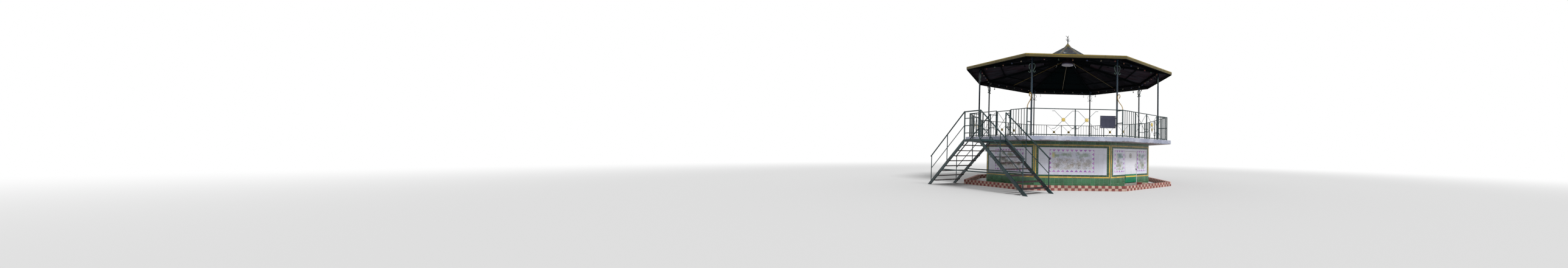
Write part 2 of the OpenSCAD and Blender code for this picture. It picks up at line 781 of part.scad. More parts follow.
module finial() {
    color([0.1, 0.12, 0.14]) translate([0, 0, cap_over(0) + cone_lift + cone_h + seat_gap]) {
        cylinder(r1 = finial_d / 2, r2 = finial_d / 2 - 6, h = finial_h * 0.8);
        for (arm = finial_arms) translate([0, 0, finial_h * arm[1]]) rotate([0, 0, arm[0]])
            rotate([0, arm[3], 0]) cylinder(r1 = 15, r2 = 9, h = arm[2]);
    }
}

// Bulbs hang under the ring beams in screw sockets
module eave_bulbs() {
    d = beam_out - bulb_d / 2;
    step = 2 * ring_half / bulbs_per_side;
    color([0.75, 0.7, 0.5]) for (j = [0:sides - 1], i = [0:bulbs_per_side - 1]) on_side(j)
        translate([(i - (bulbs_per_side - 1) / 2) * step + bulbs_shift, -d, ring_beam_z - seat_gap]) {
            translate([0, 0, -socket_h]) cylinder(d = socket_d, h = socket_h);
            translate([0, 0, -socket_h - bulb_d * 0.42]) sphere(d = bulb_d);
        }
}

// Lyre of bent flat bar on both sides of a post's head: a low curl and a tall bow
lyre_z = ring_beam_z - lyre_drop - lyre_h;
low_curl_r = lyre_h * 0.125;

module lyre_half() rotate([90, 0, 0]) linear_extrude(scroll_bar_w, center = true) {
    ribbon(arc([lyre_reach * 0.74, low_curl_r], low_curl_r, 375, 155, 14), scroll_bar_t);
    ribbon(bend([[post_d / 2 - 4, lyre_h * 0.12], [lyre_reach * 0.7, lyre_h * 0.34],
                 [lyre_reach * 1.32, lyre_h * 0.72], [lyre_reach * 0.78, lyre_h * 0.95]], 12), scroll_bar_t);
    ribbon(bend([[lyre_reach * 0.8, lyre_h * 0.945], [lyre_reach * 0.6, lyre_h * 1.04],
                 [lyre_reach * 0.4, lyre_h], [post_d / 2 - 4, lyre_h * 0.92]], 6), scroll_bar_t);
    // Short tie between the curl and the post
    translate([0, low_curl_r * 1.2]) square([lyre_reach * 0.74 - low_curl_r + 2, scroll_bar_t]);
}

module post_top_scrolls() {
    color(paint) for (k = [0:sides - 1], m = [0, 1]) on_corner(k)
        translate([0, -post_circle_r, lyre_z]) mirror([m, 0, 0]) difference() {
            lyre_half();
            translate([0, 0, -lyre_z]) post_cut(post_d);
        }
}

// Arched scroll of flat bar on the ring beam's outer face; x runs from the post along the beam
scroll_path = concat(
    bend([[post_d / 2 - 6, -160], [90, 110], [240, 120], [350, -290]], 14),
    arc([328, -290], 22, -20, -230, 8));

module beam_scrolls() {
    color(paint) for (j = [0:sides - 1], m = [0, 1]) on_side(j) mirror([m, 0, 0]) difference() {
        translate([-ring_half, -beam_out - seat_gap, ring_beam_z]) rotate([90, 0, 0])
            linear_extrude(scroll_bar_w) ribbon(scroll_path, scroll_bar_t);
        translate([-ring_half, -ring_flat, 0]) post_cut(post_d);
    }
}

// Gold S scroll from a railing corner up to the roof post beside it; x runs from the corner outward
scroll_span = rail_r - post_circle_r - post_d / 2;
curl_centre = [-scroll_span + curl_r + scroll_bar_t / 2 - 2, corner_scroll_h - curl_r];
corner_scroll_path = concat(
    bend([[0, 0], [-scroll_span * 0.12, curl_centre[1] * 0.42], [-scroll_span * 0.9, curl_centre[1] * 0.5],
          curl_centre + [-curl_r, -curl_r * 0.45]], 12),
    arc(curl_centre, curl_r, 172, -75, 14));

// The lower end leans, so it is lifted until it only just stands on the railing's corner
scroll_lift = scroll_bar_t / 8;

module corner_scrolls() {
    color(gold) for (k = [LEFT_FRONT, FRONT]) on_corner(k) difference() {
        translate([0, -rail_r, deck_z + rail_h + scroll_lift]) rotate([90, 0, -90])
            linear_extrude(scroll_bar_w, center = true) ribbon(corner_scroll_path, scroll_bar_t);
        translate([0, -post_circle_r, 0]) post_cut(post_d);
    }
}

// Grey board fixed beside the front right post with two flats
module notice_board() {
    x1 = ring_half - post_d / 2 - board_gap;
    y = -ring_flat;
    bracket = [board_gap + post_d / 2, 8, 30];
    color([0.3, 0.3, 0.34]) on_side(FRONT) difference() {
        union() {
            translate([x1 - board_w, y - board_t / 2, deck_z + board_z]) cube([board_w, board_t, board_h]);
            for (z = [board_h / 6, board_h * 5 / 6 - bracket[2]])
                translate([x1 - 1, y - bracket[1] / 2, deck_z + board_z + z]) cube(bracket);
        }
        translate([ring_half, y, 0]) post_cut(post_d);
    }
}

// Stair: a landing beside the slab and two equal flights along the face

stair_in = flat(slab_r) + stair_off;
stair_out = stair_in + stair_w;
landing_to = landing_from + landing_len;
landing_tuck = 60;
floor_plate_t = 8;
bearer_w = 40;
bearer_h = landing_beam_h * 0.8;
rise = landing_z / risers;
going = flight_run / risers;
stair_pitch = atan(landing_z / flight_run);

module stair_landing() {
    color([0.2, 0.24, 0.22]) on_side(LEFT_FRONT) {
        // Edge channels and cross bearers
        for (y = [stair_in, stair_out])
            translate([landing_from, -y - stringer_t / 2, landing_z - landing_beam_h])
                cube([landing_len, stringer_t, landing_beam_h - floor_plate_t]);
        for (x = [landing_from, landing_to - bearer_w])
            translate([x, -stair_out + stringer_t / 2 - 1, landing_z - bearer_h])
                cube([bearer_w, stair_w - stringer_t + 2, bearer_h - floor_plate_t]);
        // Floor plate, tucked under the slab's edge
        translate([landing_from, -stair_out - stringer_t / 2, landing_z - floor_plate_t - seat_gap])
            cube([landing_len, stair_out - flat(slab_r) + stringer_t / 2 + landing_tuck, floor_plate_t]);
    }
}

// Slanted bar in a stair side's plane between two heights over the flight's foot line
module flight_bar(x0, z0, x1, z1, d) translate([x0, 0, z0])
    rotate([0, 90 - atan2(z1 - z0, x1 - x0), 0]) cylinder(d = d, h = norm([x1 - x0, z1 - z0]));

// One side of a flight that goes down to the right of the landing
module flight_side() {
    slope = landing_z / flight_run;
    post_x = [flight_run * mid_post_share, flight_run - newel_inset];
    // Stringer: sloping channel cut level at the ground and plumb at the landing
    translate([0, stringer_t / 2, 0]) rotate([90, 0, 0]) linear_extrude(stringer_t)
        polygon([[0, landing_z], [0, landing_z - stringer_h / cos(stair_pitch)],
                 [flight_run - stringer_h / sin(stair_pitch), 0], [flight_run, 0]]);
    for (x = post_x) translate([x, 0, landing_z - x * slope - post_root])
        cylinder(d = mid_rail_d, h = handrail_h + post_root - handrail_d / 2);
    start = -landing_post_d / 2;
    // Each bar: height over the foot line, diameter, and how far it runs past the last post
    for (bar = [[handrail_h - handrail_d / 2, handrail_d, 50],
                [handrail_h * mid_rail_share, mid_rail_d - 4, 0]]) {
        end = post_x[1] + bar[2];
        flight_bar(start, landing_z + bar[0] - start * slope, end, landing_z + bar[0] - end * slope, bar[1]);
    }
}

module stair_flights() on_side(LEFT_FRONT) {
    translate([landing_to, 0, 0]) children();
    translate([landing_from, 0, 0]) mirror([1, 0, 0]) children();
}

// The landing's posts are a little thicker than the handrails that run into them
landing_post_d = handrail_d + 2;
mid_post_share = 0.45;
mid_rail_share = 0.48;
// How far a flight's posts reach down beside the stringer
post_root = 40;
// How far a tread's nose stands past the foot line
nose = 5;

module stair_sides() {
    color(paint) stair_flights() for (y = [stair_in, stair_out]) translate([0, -y, 0]) difference() {
        flight_side();
        // Seat against the landing's corner posts
        translate([-landing_post_d / 2, 0, landing_z]) post_cut(landing_post_d);
    }
}

module stair_treads() {
    color([0.3, 0.2, 0.18]) stair_flights() for (i = [1:risers - 1])
        translate([i * going - tread_d + nose, -stair_out + stringer_t / 2 + seat_gap,
                   landing_z - i * rise - tread_t])
            cube([tread_d, stair_w - stringer_t - 2 * seat_gap, tread_t]);
}

// Heights of the landing's lower rails, as shares of the handrail's
landing_rail_shares = [0.74, 0.48, 0.22];

module landing_rails() {
    top_z = landing_z + handrail_h - handrail_d / 2;
    lower_zs = [for (share = landing_rail_shares) landing_z + handrail_h * share];
    post_x = [landing_from + landing_post_d / 2, landing_to - landing_post_d / 2];
    color(paint) on_side(LEFT_FRONT) {
        for (x = post_x, y = [stair_in, stair_out]) translate([x, -y, landing_z])
            cylinder(d = landing_post_d, h = handrail_h);
        // Rails along the landing's outer side
        translate([post_x[0], -stair_out, top_z]) rotate([0, 90, 0])
            cylinder(d = handrail_d, h = post_x[1] - post_x[0]);
        for (z = lower_zs) translate([post_x[0], -stair_out, z]) rotate([0, 90, 0])
            cylinder(d = mid_rail_d, h = post_x[1] - post_x[0]);
        // The inner posts are tied by short rails to the uprights beside the gate
        for (e = [[post_x[0], 0], [post_x[1], panel_w]], z = [top_z - 10, lower_zs[1]]) difference() {
            bar_between([e[0], -stair_in, z], [e[1], -rail_flat, z], mid_rail_d - 4);
            translate([e[1] - mid_post_w / 2 - seat_gap, -rail_flat - mid_post_w / 2 - seat_gap, 0])
                cube([mid_post_w + 2 * seat_gap, mid_post_w + 2 * seat_gap, 2 * landing_z]);
        }
    }
}

// Two flat ties, one on each stringer plane's inner face, that hold the flights to each other
tie_h = 40;
tie_t = 10;
tie_inset = 70;

module stair_ties() {
    reach = (landing_z - tie_z) / landing_z * flight_run - tie_inset;
    color(paint) on_side(LEFT_FRONT)
        for (y = [-stair_out + stringer_t / 2 + seat_gap, -stair_in - stringer_t / 2 - seat_gap - tie_t])
            translate([landing_from - reach, y, tie_z]) cube([landing_len + 2 * reach, tie_t, tie_h]);
}

podium_floor();
podium_walls();
wall_beside_door_left();
wall_beside_door_right();
wall_over_door();
door_frame();
door_leaf();
block_edging();
deck_slab();
planter_kerb();
roof_posts();
railing(FRONT, false);  // railing_front
railing(RIGHT_FRONT, true, false, true);  // railing_right_front
railing(RIGHT, true);  // railing_right
railing(REAR_RIGHT, true);  // railing_rear_right
railing(REAR, true);  // railing_rear
railing(REAR_LEFT, true);  // railing_rear_left
railing(LEFT, true);  // railing_left
railing_left_front();
gate_leaf();
rail_links();
post_top_scrolls();
beam_scrolls();
corner_scrolls();
ring_beams();
hip_rafters();
purlins();
roof_drum();
lamp();
roof_sheets();
cap_sheets();
cap_upstand();
hip_flashings();
fascia();
eave_frame();
apex_cap();
finial();
conduits();
eave_bulbs();
notice_board();
stair_landing();
landing_rails();
stair_sides();
stair_treads();
stair_ties();
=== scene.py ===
from math import cos, pi, sin, tan
import bpy
import numpy as np
from mathutils import Matrix, Vector


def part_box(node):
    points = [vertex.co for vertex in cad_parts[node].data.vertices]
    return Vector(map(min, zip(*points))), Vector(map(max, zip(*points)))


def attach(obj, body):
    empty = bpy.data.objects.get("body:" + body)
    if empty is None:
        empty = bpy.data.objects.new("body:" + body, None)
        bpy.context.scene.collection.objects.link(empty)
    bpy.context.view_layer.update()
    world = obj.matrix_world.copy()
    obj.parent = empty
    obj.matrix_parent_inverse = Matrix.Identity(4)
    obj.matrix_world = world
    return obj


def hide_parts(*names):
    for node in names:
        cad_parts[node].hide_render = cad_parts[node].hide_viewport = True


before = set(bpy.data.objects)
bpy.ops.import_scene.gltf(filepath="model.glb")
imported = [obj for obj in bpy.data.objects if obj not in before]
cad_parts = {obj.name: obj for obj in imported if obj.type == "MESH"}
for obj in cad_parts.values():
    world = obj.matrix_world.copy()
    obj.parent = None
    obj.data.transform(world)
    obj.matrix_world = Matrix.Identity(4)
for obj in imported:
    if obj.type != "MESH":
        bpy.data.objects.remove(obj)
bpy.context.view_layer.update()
scene = bpy.context.scene
print("frame loaded:", len(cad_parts), "nodes")

# The sides are numbered from the front, turning to the right; halfTurn is from a side's middle to its corner
sideNames = ["front", "right_front", "right", "rear_right", "rear", "rear_left", "left", "left_front"]
halfTurn = pi / 8
slabLow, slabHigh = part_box("deck_slab")
plan = {
    "podiumFlat": -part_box("podium_walls")[0].y,   # wall face from the axis, across flats
    "kerbFlat": -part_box("planter_kerb")[0].y,
    "railFlat": 4.2 * cos(halfTurn),   # the railing's corners stand 4.2 from the axis
    "postCircle": 3.85,
    "slabUnder": slabLow.z, "deckTop": slabHigh.z, "capFrom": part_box("cap_sheets")[0].z,
}


# A new object in the scene
def addObject(name, data):
    made = bpy.data.objects.new(name, data)
    scene.collection.objects.link(made)
    return made


# Camera: the photograph is a cylinder panorama; this is the flat view closest to it over the bandstand.
# It stands at a distance from the axis, phi to the left of the front, looks a little left of the axis by yaw,
# up by pitch, with a slight roll; middle is the pixel straight ahead.
camera = {"distance": 16.7494, "height": 1.2405, "phi": 0.0726, "yaw": -0.0233, "pitch": 0.0347,
          "roll": -0.0156, "focalPixels": 633.795, "middle": (1737.202, 229.546), "picture": (2576, 441),
          "sensor": 36.0, "farthest": 1000}


# The level right and ahead are turned by phi + yaw, then tipped up by pitch, then leaned by roll; the lens is
# the focal length in pixels times the sensor over the picture's width
def placeCamera(c):
    turn, tip, lean = c["phi"] + c["yaw"], c["pitch"], c["roll"]
    level = Vector((cos(turn), -sin(turn), 0))
    forward = Vector((sin(turn), cos(turn), 0))
    upright = Vector((0, 0, 1))
    down = sin(tip) * forward - cos(tip) * upright
    right = cos(lean) * level + sin(lean) * down
    up = sin(lean) * level - cos(lean) * down
    ahead = cos(tip) * forward + sin(tip) * upright
    data = bpy.data.cameras.new("camera")
    wide, high = c["picture"]
    data.sensor_fit, data.sensor_width = "HORIZONTAL", c["sensor"]
    data.lens = c["focalPixels"] * c["sensor"] / wide
    data.shift_x = (wide / 2 - c["middle"][0]) / wide
    data.shift_y = (c["middle"][1] - high / 2) / wide
    data.clip_end = c["farthest"]
    spot = (-c["distance"] * sin(c["phi"]), -c["distance"] * cos(c["phi"]), c["height"])
    scene.camera = addObject("camera", data)
    facing = Matrix([right, up, -ahead]).transposed().to_4x4()
    scene.camera.matrix_world = Matrix.Translation(Vector(spot)) @ facing


placeCamera(camera)
scene.view_settings.view_transform = "Standard"


# A colour as a paint chart gives it, 0 to 255, turned to the linear values that shaders use
def tone(r, g, b):
    return tuple(((c / 255 + 0.055) / 1.055) ** 2.4 if c > 10 else c / 3294.6 for c in (r, g, b)) + (1.0,)


# A value that a node gives; sums and comparisons on it add Math nodes
class Value:
    def __init__(self, socket):
        self.socket, self.tree = socket, socket.id_data

    __add__ = lambda a, b: calc("ADD", a, b)
    __sub__ = lambda a, b: calc("SUBTRACT", a, b)
    __rsub__ = lambda a, b: calc("SUBTRACT", b, a)
    __mul__ = lambda a, b: calc("MULTIPLY", a, b)
    __truediv__ = lambda a, b: calc("DIVIDE", a, b)
    __lt__ = lambda a, b: calc("LESS_THAN", a, b)
    __gt__ = lambda a, b: calc("GREATER_THAN", a, b)


def join(value, node, socket):
    value.tree.links.new(value.socket, node.inputs[socket])


# One shader node in a tree or beside a Value; its values that are Values are linked, and the rest are set
def add(near, kind, values=(), output=0, **settings):
    made = getattr(near, "tree", near).nodes.new("ShaderNode" + kind)
    for key, value in settings.items():
        setattr(made, key, value)
    for key, value in dict(values).items():
        if isinstance(value, Value):
            join(value, made, key)
        else:
            made.inputs[key].default_value = value
    return Value(made.outputs[output])


# A Math node on a Value and a number or another Value
def calc(operation, a, b=0.0):
    return add(a if isinstance(a, Value) else b, "Math", {0: a, 1: b}, operation=operation)


# Colour between two others by a share from 0 to 1; three numbers are a chart colour, four are linear
def mixed(share, first, second, way="MIX"):
    first, second = [tone(*c) if isinstance(c, tuple) and len(c) == 3 else c for c in (first, second)]
    return add(share, "Mix", {0: share, 6: first, 7: second}, 2, data_type="RGBA", blend_type=way)


# Coats of colour laid one over another by their shares; a stain of four numbers multiplies what it covers
def coated(colour, *coats):
    for share, tint in coats:
        stain = isinstance(tint, tuple) and len(tint) == 4
        colour = mixed(share, colour, tint, "MULTIPLY" if stain else "MIX")
    return colour


# Share that rises smoothly from 0 to 1 while a value goes from low to high
def rising(value, low, high):
    return add(value, "MapRange", {"Value": value, "From Min": low, "From Max": high},
               interpolation_type="SMOOTHSTEP")


# Share made of clouds: noise of so many waves a metre, cut between low and high
def clouds(place, scale, low=0.3, high=0.7, detail=4.0):
    noise = {"Vector": place, "Scale": scale, "Detail": detail, "Roughness": 0.6}
    return rising(add(place, "TexNoise", noise), low, high)


# A place with its three parts multiplied, so that a pattern on it has so many times the waves each way
def stretched(place, x, y, z):
    return add(place, "Mapping", {"Vector": place, "Scale": (x, y, z)})


# The three parts of a place, and a place from its parts
def parts(place):
    return [Value(socket) for socket in add(place, "SeparateXYZ", {0: place}).socket.node.outputs]


def placed(x, y, z=0.0):
    return add(x, "CombineXYZ", {0: x, 1: y, 2: z})


# The colour that the mesh gives each of its points
def ownTint(place):
    return add(place, "Attribute", output="Color", attribute_name="tint")


# A new material, and the object's own coordinates in it
def startFinish(name, shine=0.5, coat=0.0):
    finish = bpy.data.materials.new(name)
    finish.use_nodes = True
    inputs = finish.node_tree.nodes["Principled BSDF"].inputs
    for key, value in (("Specular IOR Level", shine), ("Coat Weight", coat), ("Coat Roughness", 0.12)):
        inputs[key].default_value = value
    return finish, add(finish.node_tree, "TexCoord", output="Object")


# Joins colour, roughness (from smooth to coarse as share goes from 0 to 1) and a bump of so many metres
def endFinish(finish, colour, share, smooth, coarse, height, depth):
    shader = finish.node_tree.nodes["Principled BSDF"]
    rough = add(share, "MapRange", {"Value": share, "To Min": smooth, "To Max": coarse})
    bump = add(share, "Bump", {"Height": height, "Distance": depth, "Strength": 0.7})
    for value, socket in ((colour, "Base Color"), (rough, "Roughness"), (bump, "Normal")):
        join(value, shader, socket)
    return finish


# Brushed-on paint over steel: faded patches, dirt that runs downward, and chips with rust under them. soiled
# gives two heights, clean at the first and dirtiest at the second. inner is a colour of painted shade for
# faces
# towards the axis: there the normal times the place, with its height left out, is below -0.4.
def paintedSteel(name, tones, chips, rough=(0.32, 0.62), shine=0.35, inner=None, soiled=None):
    finish, place = startFinish(name, shine)
    paint, faded, dirt, rust = tones
    runs = clouds(stretched(place, 16, 16, 1.3), 1.0, 0.5, 0.8, 3.0)
    colour = mixed(runs * 0.55, mixed(clouds(place, 1.9, 0.35, 0.68), paint, faded), dirt)
    if soiled:
        high = parts(place)[2]
        colour = mixed((high < soiled[0]) * (rising(high, *soiled) * 0.75), colour, dirt)
    worn = clouds(place, 34, 0.66 - 0.1 * chips, 0.72 - 0.1 * chips, 6.0) * clouds(place, 4.3, 0.42, 0.6)
    colour = mixed(worn, colour, rust)
    # Painted shade: faces towards the axis take the inner colour
    if inner:
        both = {0: add(place, "NewGeometry", output="Normal"), 1: stretched(place, 1, 1, 0)}
        outward = add(place, "VectorMath", both, "Value", operation="DOT_PRODUCT")
        colour = mixed(outward < -0.4, colour, inner)
    grain = clouds(place, 160, 0.2, 0.8, 2.0)
    return endFinish(finish, colour, calc("MAXIMUM", worn, runs), *rough, grain * 0.25 - worn, 0.0012)


# Glazed tile: its own colour from the mesh, cloudy glaze, specks, soot with painted shade under the slab at
# the top, and dirt low down. A bordered one has violet triangles on the panel's edge, one over each joint:
# inside a triangle the share of half a base plus the share of the height is below 1.
def glazedTile(name, bordered):
    finish, place = startFinish(name, 0.32, 0.12)
    colour = ownTint(place)
    if bordered:
        across, up, flat = parts(add(place, "UVMap", uv_map="fromEdge"))
        hand = (add(place, "TexNoise", {"Vector": place, "Scale": 22.0, "Detail": 2.0}) - 0.5) * 0.35
        ways = (across, up), (up, across)
        onEdge = [calc("PINGPONG", along, 0.5) / 0.43 + inward / 0.48 for along, inward in ways]
        violet = mixed(clouds(place, 2.6, 0.35, 0.65), (164, 100, 190), (200, 140, 212))
        violet = mixed(clouds(place, 60, 0.4, 0.9) * 0.5, violet, (214, 172, 224))
        colour = mixed(rising(calc("MINIMUM", *onEdge) + hand, 1.04, 0.96), colour, violet)
    cloudy = clouds(place, 19, 0.3, 0.75, 5.0)
    specks = clouds(place, 95, 0.46, 0.72, 3.0) * clouds(place, 4)
    high = parts(place)[2]
    # Darker at the top of the wall, under the slab: partly soot and partly painted shade
    sootAndShade = rising(high, 1.4, 1.56) * rising(clouds(place, 3, 0.2, 0.8), -1.5, 1.0)
    soiled = rising(high, 0.32, 0.0) * clouds(place, 7, 0.35, 0.7)
    streaks = clouds(stretched(place, 14, 14, 0.8), 1.0, 0.55, 0.85, 3.0)
    colour = coated(colour, (cloudy * 0.22, (0.62, 0.68, 0.68, 1)), (specks * 0.24, (176, 194, 174)),
                    (sootAndShade * 0.85, (0.24, 0.27, 0.27, 1)), (soiled * 0.55, (92, 84, 66)),
                    (streaks * 0.16, (120, 116, 108)))
    ripple = clouds(place, 11, 0.2, 0.8, 1.0)
    return endFinish(finish, colour, calc("MAXIMUM", soiled, cloudy), 0.14, 0.36, ripple, 0.0016)


# Block, mortar and concrete: grain, pits and dirty patches; a tinted one takes its colour from the mesh
def roughStone(name, pale, dark, tinted=False, grainSize=90.0, depth=0.003):
    finish, place = startFinish(name)
    colour = ownTint(place) if tinted else mixed(clouds(place, 2.3), pale, dark)
    grain = clouds(place, grainSize, detail=5.0)
    pits = clouds(place, grainSize * 0.7, 0.64, 0.7, 2.0)
    colour = coated(colour, (grain * 0.3, dark), (clouds(place, 5, 0.5, 0.75) * 0.4, (86, 76, 66)))
    return endFinish(finish, colour, grain, 0.75, 0.95, grain * 0.5 - pits, depth)


# Deck slab: whitewashed edge with stains and a dark, dented broken line along its lower edge, its blue-grey
# partly painted open shade; grey-brown soffit, and worn screed on top with joints both ways 1.2 apart
def slabConcrete():
    finish, place = startFinish("slabConcrete")
    x, y, z = parts(place)
    runs = clouds(stretched(place, 13, 13, 1.6), 1.0, 0.52, 0.8)
    shadedRight = rising(x + y, -3.2, -1.6)    # the right-hand sides of the edge are greyer than the rest: painted shade
    broken = rising(z, plan["slabUnder"] + 0.04, plan["slabUnder"]) * clouds(place, 7, 0.46, 0.6, 6.0)
    holes = clouds(place, 13, 0.7, 0.74, 2.0) * clouds(place, 1.3, 0.4, 0.6)
    bad = calc("MAXIMUM", broken, holes)
    # Whitewash tinted blue-grey and dulled, partly as painted open shade
    wash = mixed(clouds(place, 2.4, 0.35, 0.65), (196, 200, 216), (160, 167, 188))
    wash = coated(wash, (runs * 0.5, (146, 142, 140)), (shadedRight * 0.5, (0.62, 0.6, 0.61, 1)),
                  (bad, (84, 76, 74)))
    soffit = mixed(clouds(place, 1.2), (140, 126, 124), (106, 96, 96))
    soffit = mixed(clouds(place, 6, 0.62, 0.75), soffit, (82, 74, 72))
    joint = calc("MAXIMUM", *[rising(calc("PINGPONG", line, 0.6), 0.012, 0.004) for line in (x, y)])
    screed = mixed(clouds(place, 1.5), (158, 152, 146), (128, 120, 114))
    screed = coated(screed, (clouds(place, 8, 0.6, 0.8), (92, 86, 80)), (joint, (70, 66, 62)))
    under, over = z < plan["slabUnder"] + 0.002, z > plan["deckTop"] - 0.002
    grain = clouds(place, 60, detail=5.0)
    height = grain * 0.3 - (bad + joint * over)
    return endFinish(finish, coated(wash, (under, soffit), (over, screed)), grain, 0.55, 0.9, height, 0.004)


# Roof sheets. Outside: courses parallel to the eave, each with its own tone, lapped, patched and stained.
# Inside: dark sheets whose seams run up the slope, with painted light on those at the left and right. With
# side the nearest multiple of 45 degrees, flat is x cos side + y sin side, and along is y cos side - x sin
# side.
def roofSheet():
    finish, place = startFinish("roofSheet")
    x, y, z = parts(place)
    side = calc("ROUND", calc("ARCTAN2", y, x) / (pi / 4))
    angle = side * (pi / 4)
    c, s = calc("COSINE", angle), calc("SINE", angle)
    flat = x * c + y * s
    along = y * c - x * s

    def strips(value, width):    # a random number for each strip, and the share of the way across it
        course = value / width
        cell = placed(calc("FLOOR", course), side, width)
        return add(place, "TexWhiteNoise", {"Vector": cell}, noise_dimensions="3D"), calc("FRACT", course)

    luck, share = strips(flat, 0.42)
    lap = rising(share, 0.05, 0.0)
    # The little cap has kept more of its red primer and pale patches than the roof below it
    capped = (z > plan["capFrom"]) * 0.8 + 0.2
    top = mixed(clouds(place, 1.7, 0.38, 0.6, 5.0), (44, 51, 53), (66, 70, 73))
    top = coated(top, (clouds(place, 2.6, 0.5, 0.6, 3.0), (56, 44, 50)),
                 (clouds(place, 3.4, 0.58, 0.66, 6.0) * capped, (106, 62, 62)),
                 (clouds(place, 3.7, 0.61, 0.65, 5.0) * capped, (168, 168, 174)),
                 (luck * 0.4, (46, 66, 72)), (lap * 0.7, (30, 30, 30)))
    under, seamShare = strips(along + 9.0, 0.74)
    seam = rising(seamShare, 0.03, 0.0)
    slopeWise = placed(along * 2.4, flat, side)
    # Painted light: the inside is made lighter, with purple-brown and grey streaks, where this share is high
    faded = calc("POWER", c, 4.0)    # 1 at the left and right, 0 at the front and rear
    inside = coated(mixed(under, (7, 15, 16), (14, 21, 23)),
                    (clouds(slopeWise, 0.8, 0.2, 0.7, 2.0) * (faded * 0.85), (60, 46, 54)),
                    (clouds(slopeWise, 1.3, 0.35, 0.7, 2.0) * (faded * 0.7), (58, 59, 68)), (seam, (6, 7, 8)))
    outside = parts(add(place, "NewGeometry", output="Normal"))[2] > 0.0
    # The outside shines a little, the cap hardly, and the inside not at all
    join(outside * (0.475 - capped * 0.375), finish.node_tree.nodes["Principled BSDF"], "Specular IOR Level")
    grain = clouds(place, 45)
    height = grain * 0.15 - (lap * outside + seam * 0.3)
    return endFinish(finish, mixed(outside, inside, top), grain, 0.5, 0.85, height, 0.006)


# Door paint, by height in metres above the ground and by along, in metres to the right of the door's middle.
# Each mark has its middle (along and high), then its half width and half height.
doorMarks = {"whiteFrom": 0.484, "yellowTo": 0.42, "yellowFrom": 0.379, "leafHalf": 0.396, "lineAt": 0.73,
             "lock": (0.35, 0.655, 0.075, 0.09), "darkPatch": (0.33, 0.79, 0.085, 0.13),
             "ring": (0.03, 0.56, 0.045, 0.034), "drip": (0.03, 0.47, 0.008, 0.06)}


# Sheet door and frame painted like the tiles round them: white above, and green below with a yellow stripe.
# Their side faces halfway between x and -y, so along is (x + y) and out is (x - y), both over root 2. On the
# white are a dark streaked patch above the lock, a ring mark low down with a drip below it, and an ochre line
# across.
def doorPaint(marks):
    finish, place = startFinish("doorPaint", 0.3, 0.08)
    x, y, z = parts(place)
    along, out = (x + y) * 0.5 ** 0.5, (x - y) * 0.5 ** 0.5
    level = z + (add(place, "TexNoise", {"Vector": place, "Scale": 9.0}) - 0.5) * 0.006

    def about(mark):    # distance from a mark's middle, as a share of its half width and its half height
        across, high, wide, tall = marks[mark]
        spot = placed((along - across) / wide, (z - high) / tall)
        return add(place, "VectorMath", {0: spot}, "Value", operation="LENGTH")

    green = mixed(clouds(place, 5), (4, 116, 80), (14, 128, 90))
    iron = mixed(clouds(place, 70), (84, 84, 88), (54, 52, 54))
    leftJamb = (along < -marks["leafHalf"]) * (level < marks["whiteFrom"])
    runs = clouds(stretched(place, 15, 15, 1.0), 1.0, 0.55, 0.8)
    ring = rising(calc("ABSOLUTE", about("ring") - 1.0), 0.16, 0.06)
    ring = calc("MAXIMUM", ring, rising(about("drip"), 1.0, 0.6))
    line = rising(calc("ABSOLUTE", level - marks["lineAt"]), 0.006, 0.002) * clouds(place, 4, 0.35, 0.6)
    darkPatch = rising(about("darkPatch"), 1.0, 0.3) * clouds(stretched(place, 60, 60, 18), 1.0, 0.44, 0.56)
    lock = (out > plan["podiumFlat"] + 0.002) * (about("lock") < 1.0)
    chips = clouds(place, 40, 0.66, 0.7, 5.0) * clouds(place, 3, 0.5, 0.65)
    colour = mixed(clouds(place, 2.5), (234, 234, 242), (222, 223, 233))
    colour = coated(colour, (level < marks["whiteFrom"], green), (level < marks["yellowTo"], (244, 206, 84)),
                    (level < marks["yellowFrom"], green), (leftJamb, (58, 100, 72)),
                    (along > marks["leafHalf"], (206, 210, 214)), (runs * 0.14, (112, 104, 92)),
                    (ring * 0.5, (112, 116, 118)), (line * 0.5, (186, 176, 150)), (darkPatch * 0.7, (82, 80, 84)),
                    (lock, iron), (chips, (96, 66, 48)))
    grain = clouds(place, 30, 0.2, 0.8, 2.0)
    return endFinish(finish, colour, calc("MAXIMUM", runs, chips), 0.2, 0.5, grain * 0.3 - chips, 0.001)


# Lamp disc of cloudy plastic, and bulbs of coloured glass with dust on them
def cloudyLamp():
    finish, place = startFinish("cloudyLamp")
    colour = mixed(clouds(place, 6), (130, 124, 146), (102, 98, 118))
    colour = mixed(clouds(place, 26, 0.6, 0.75), colour, (110, 100, 96))
    return endFinish(finish, colour, clouds(place, 12), 0.25, 0.5, clouds(place, 40), 0.0006)


def bulbGlass():
    finish, place = startFinish("bulbGlass", coat=0.15)
    dust = clouds(place, 30, 0.45, 0.75)
    return endFinish(finish, mixed(dust * 0.4, ownTint(place), (98, 90, 80)), dust, 0.08, 0.4, dust, 0.0003)


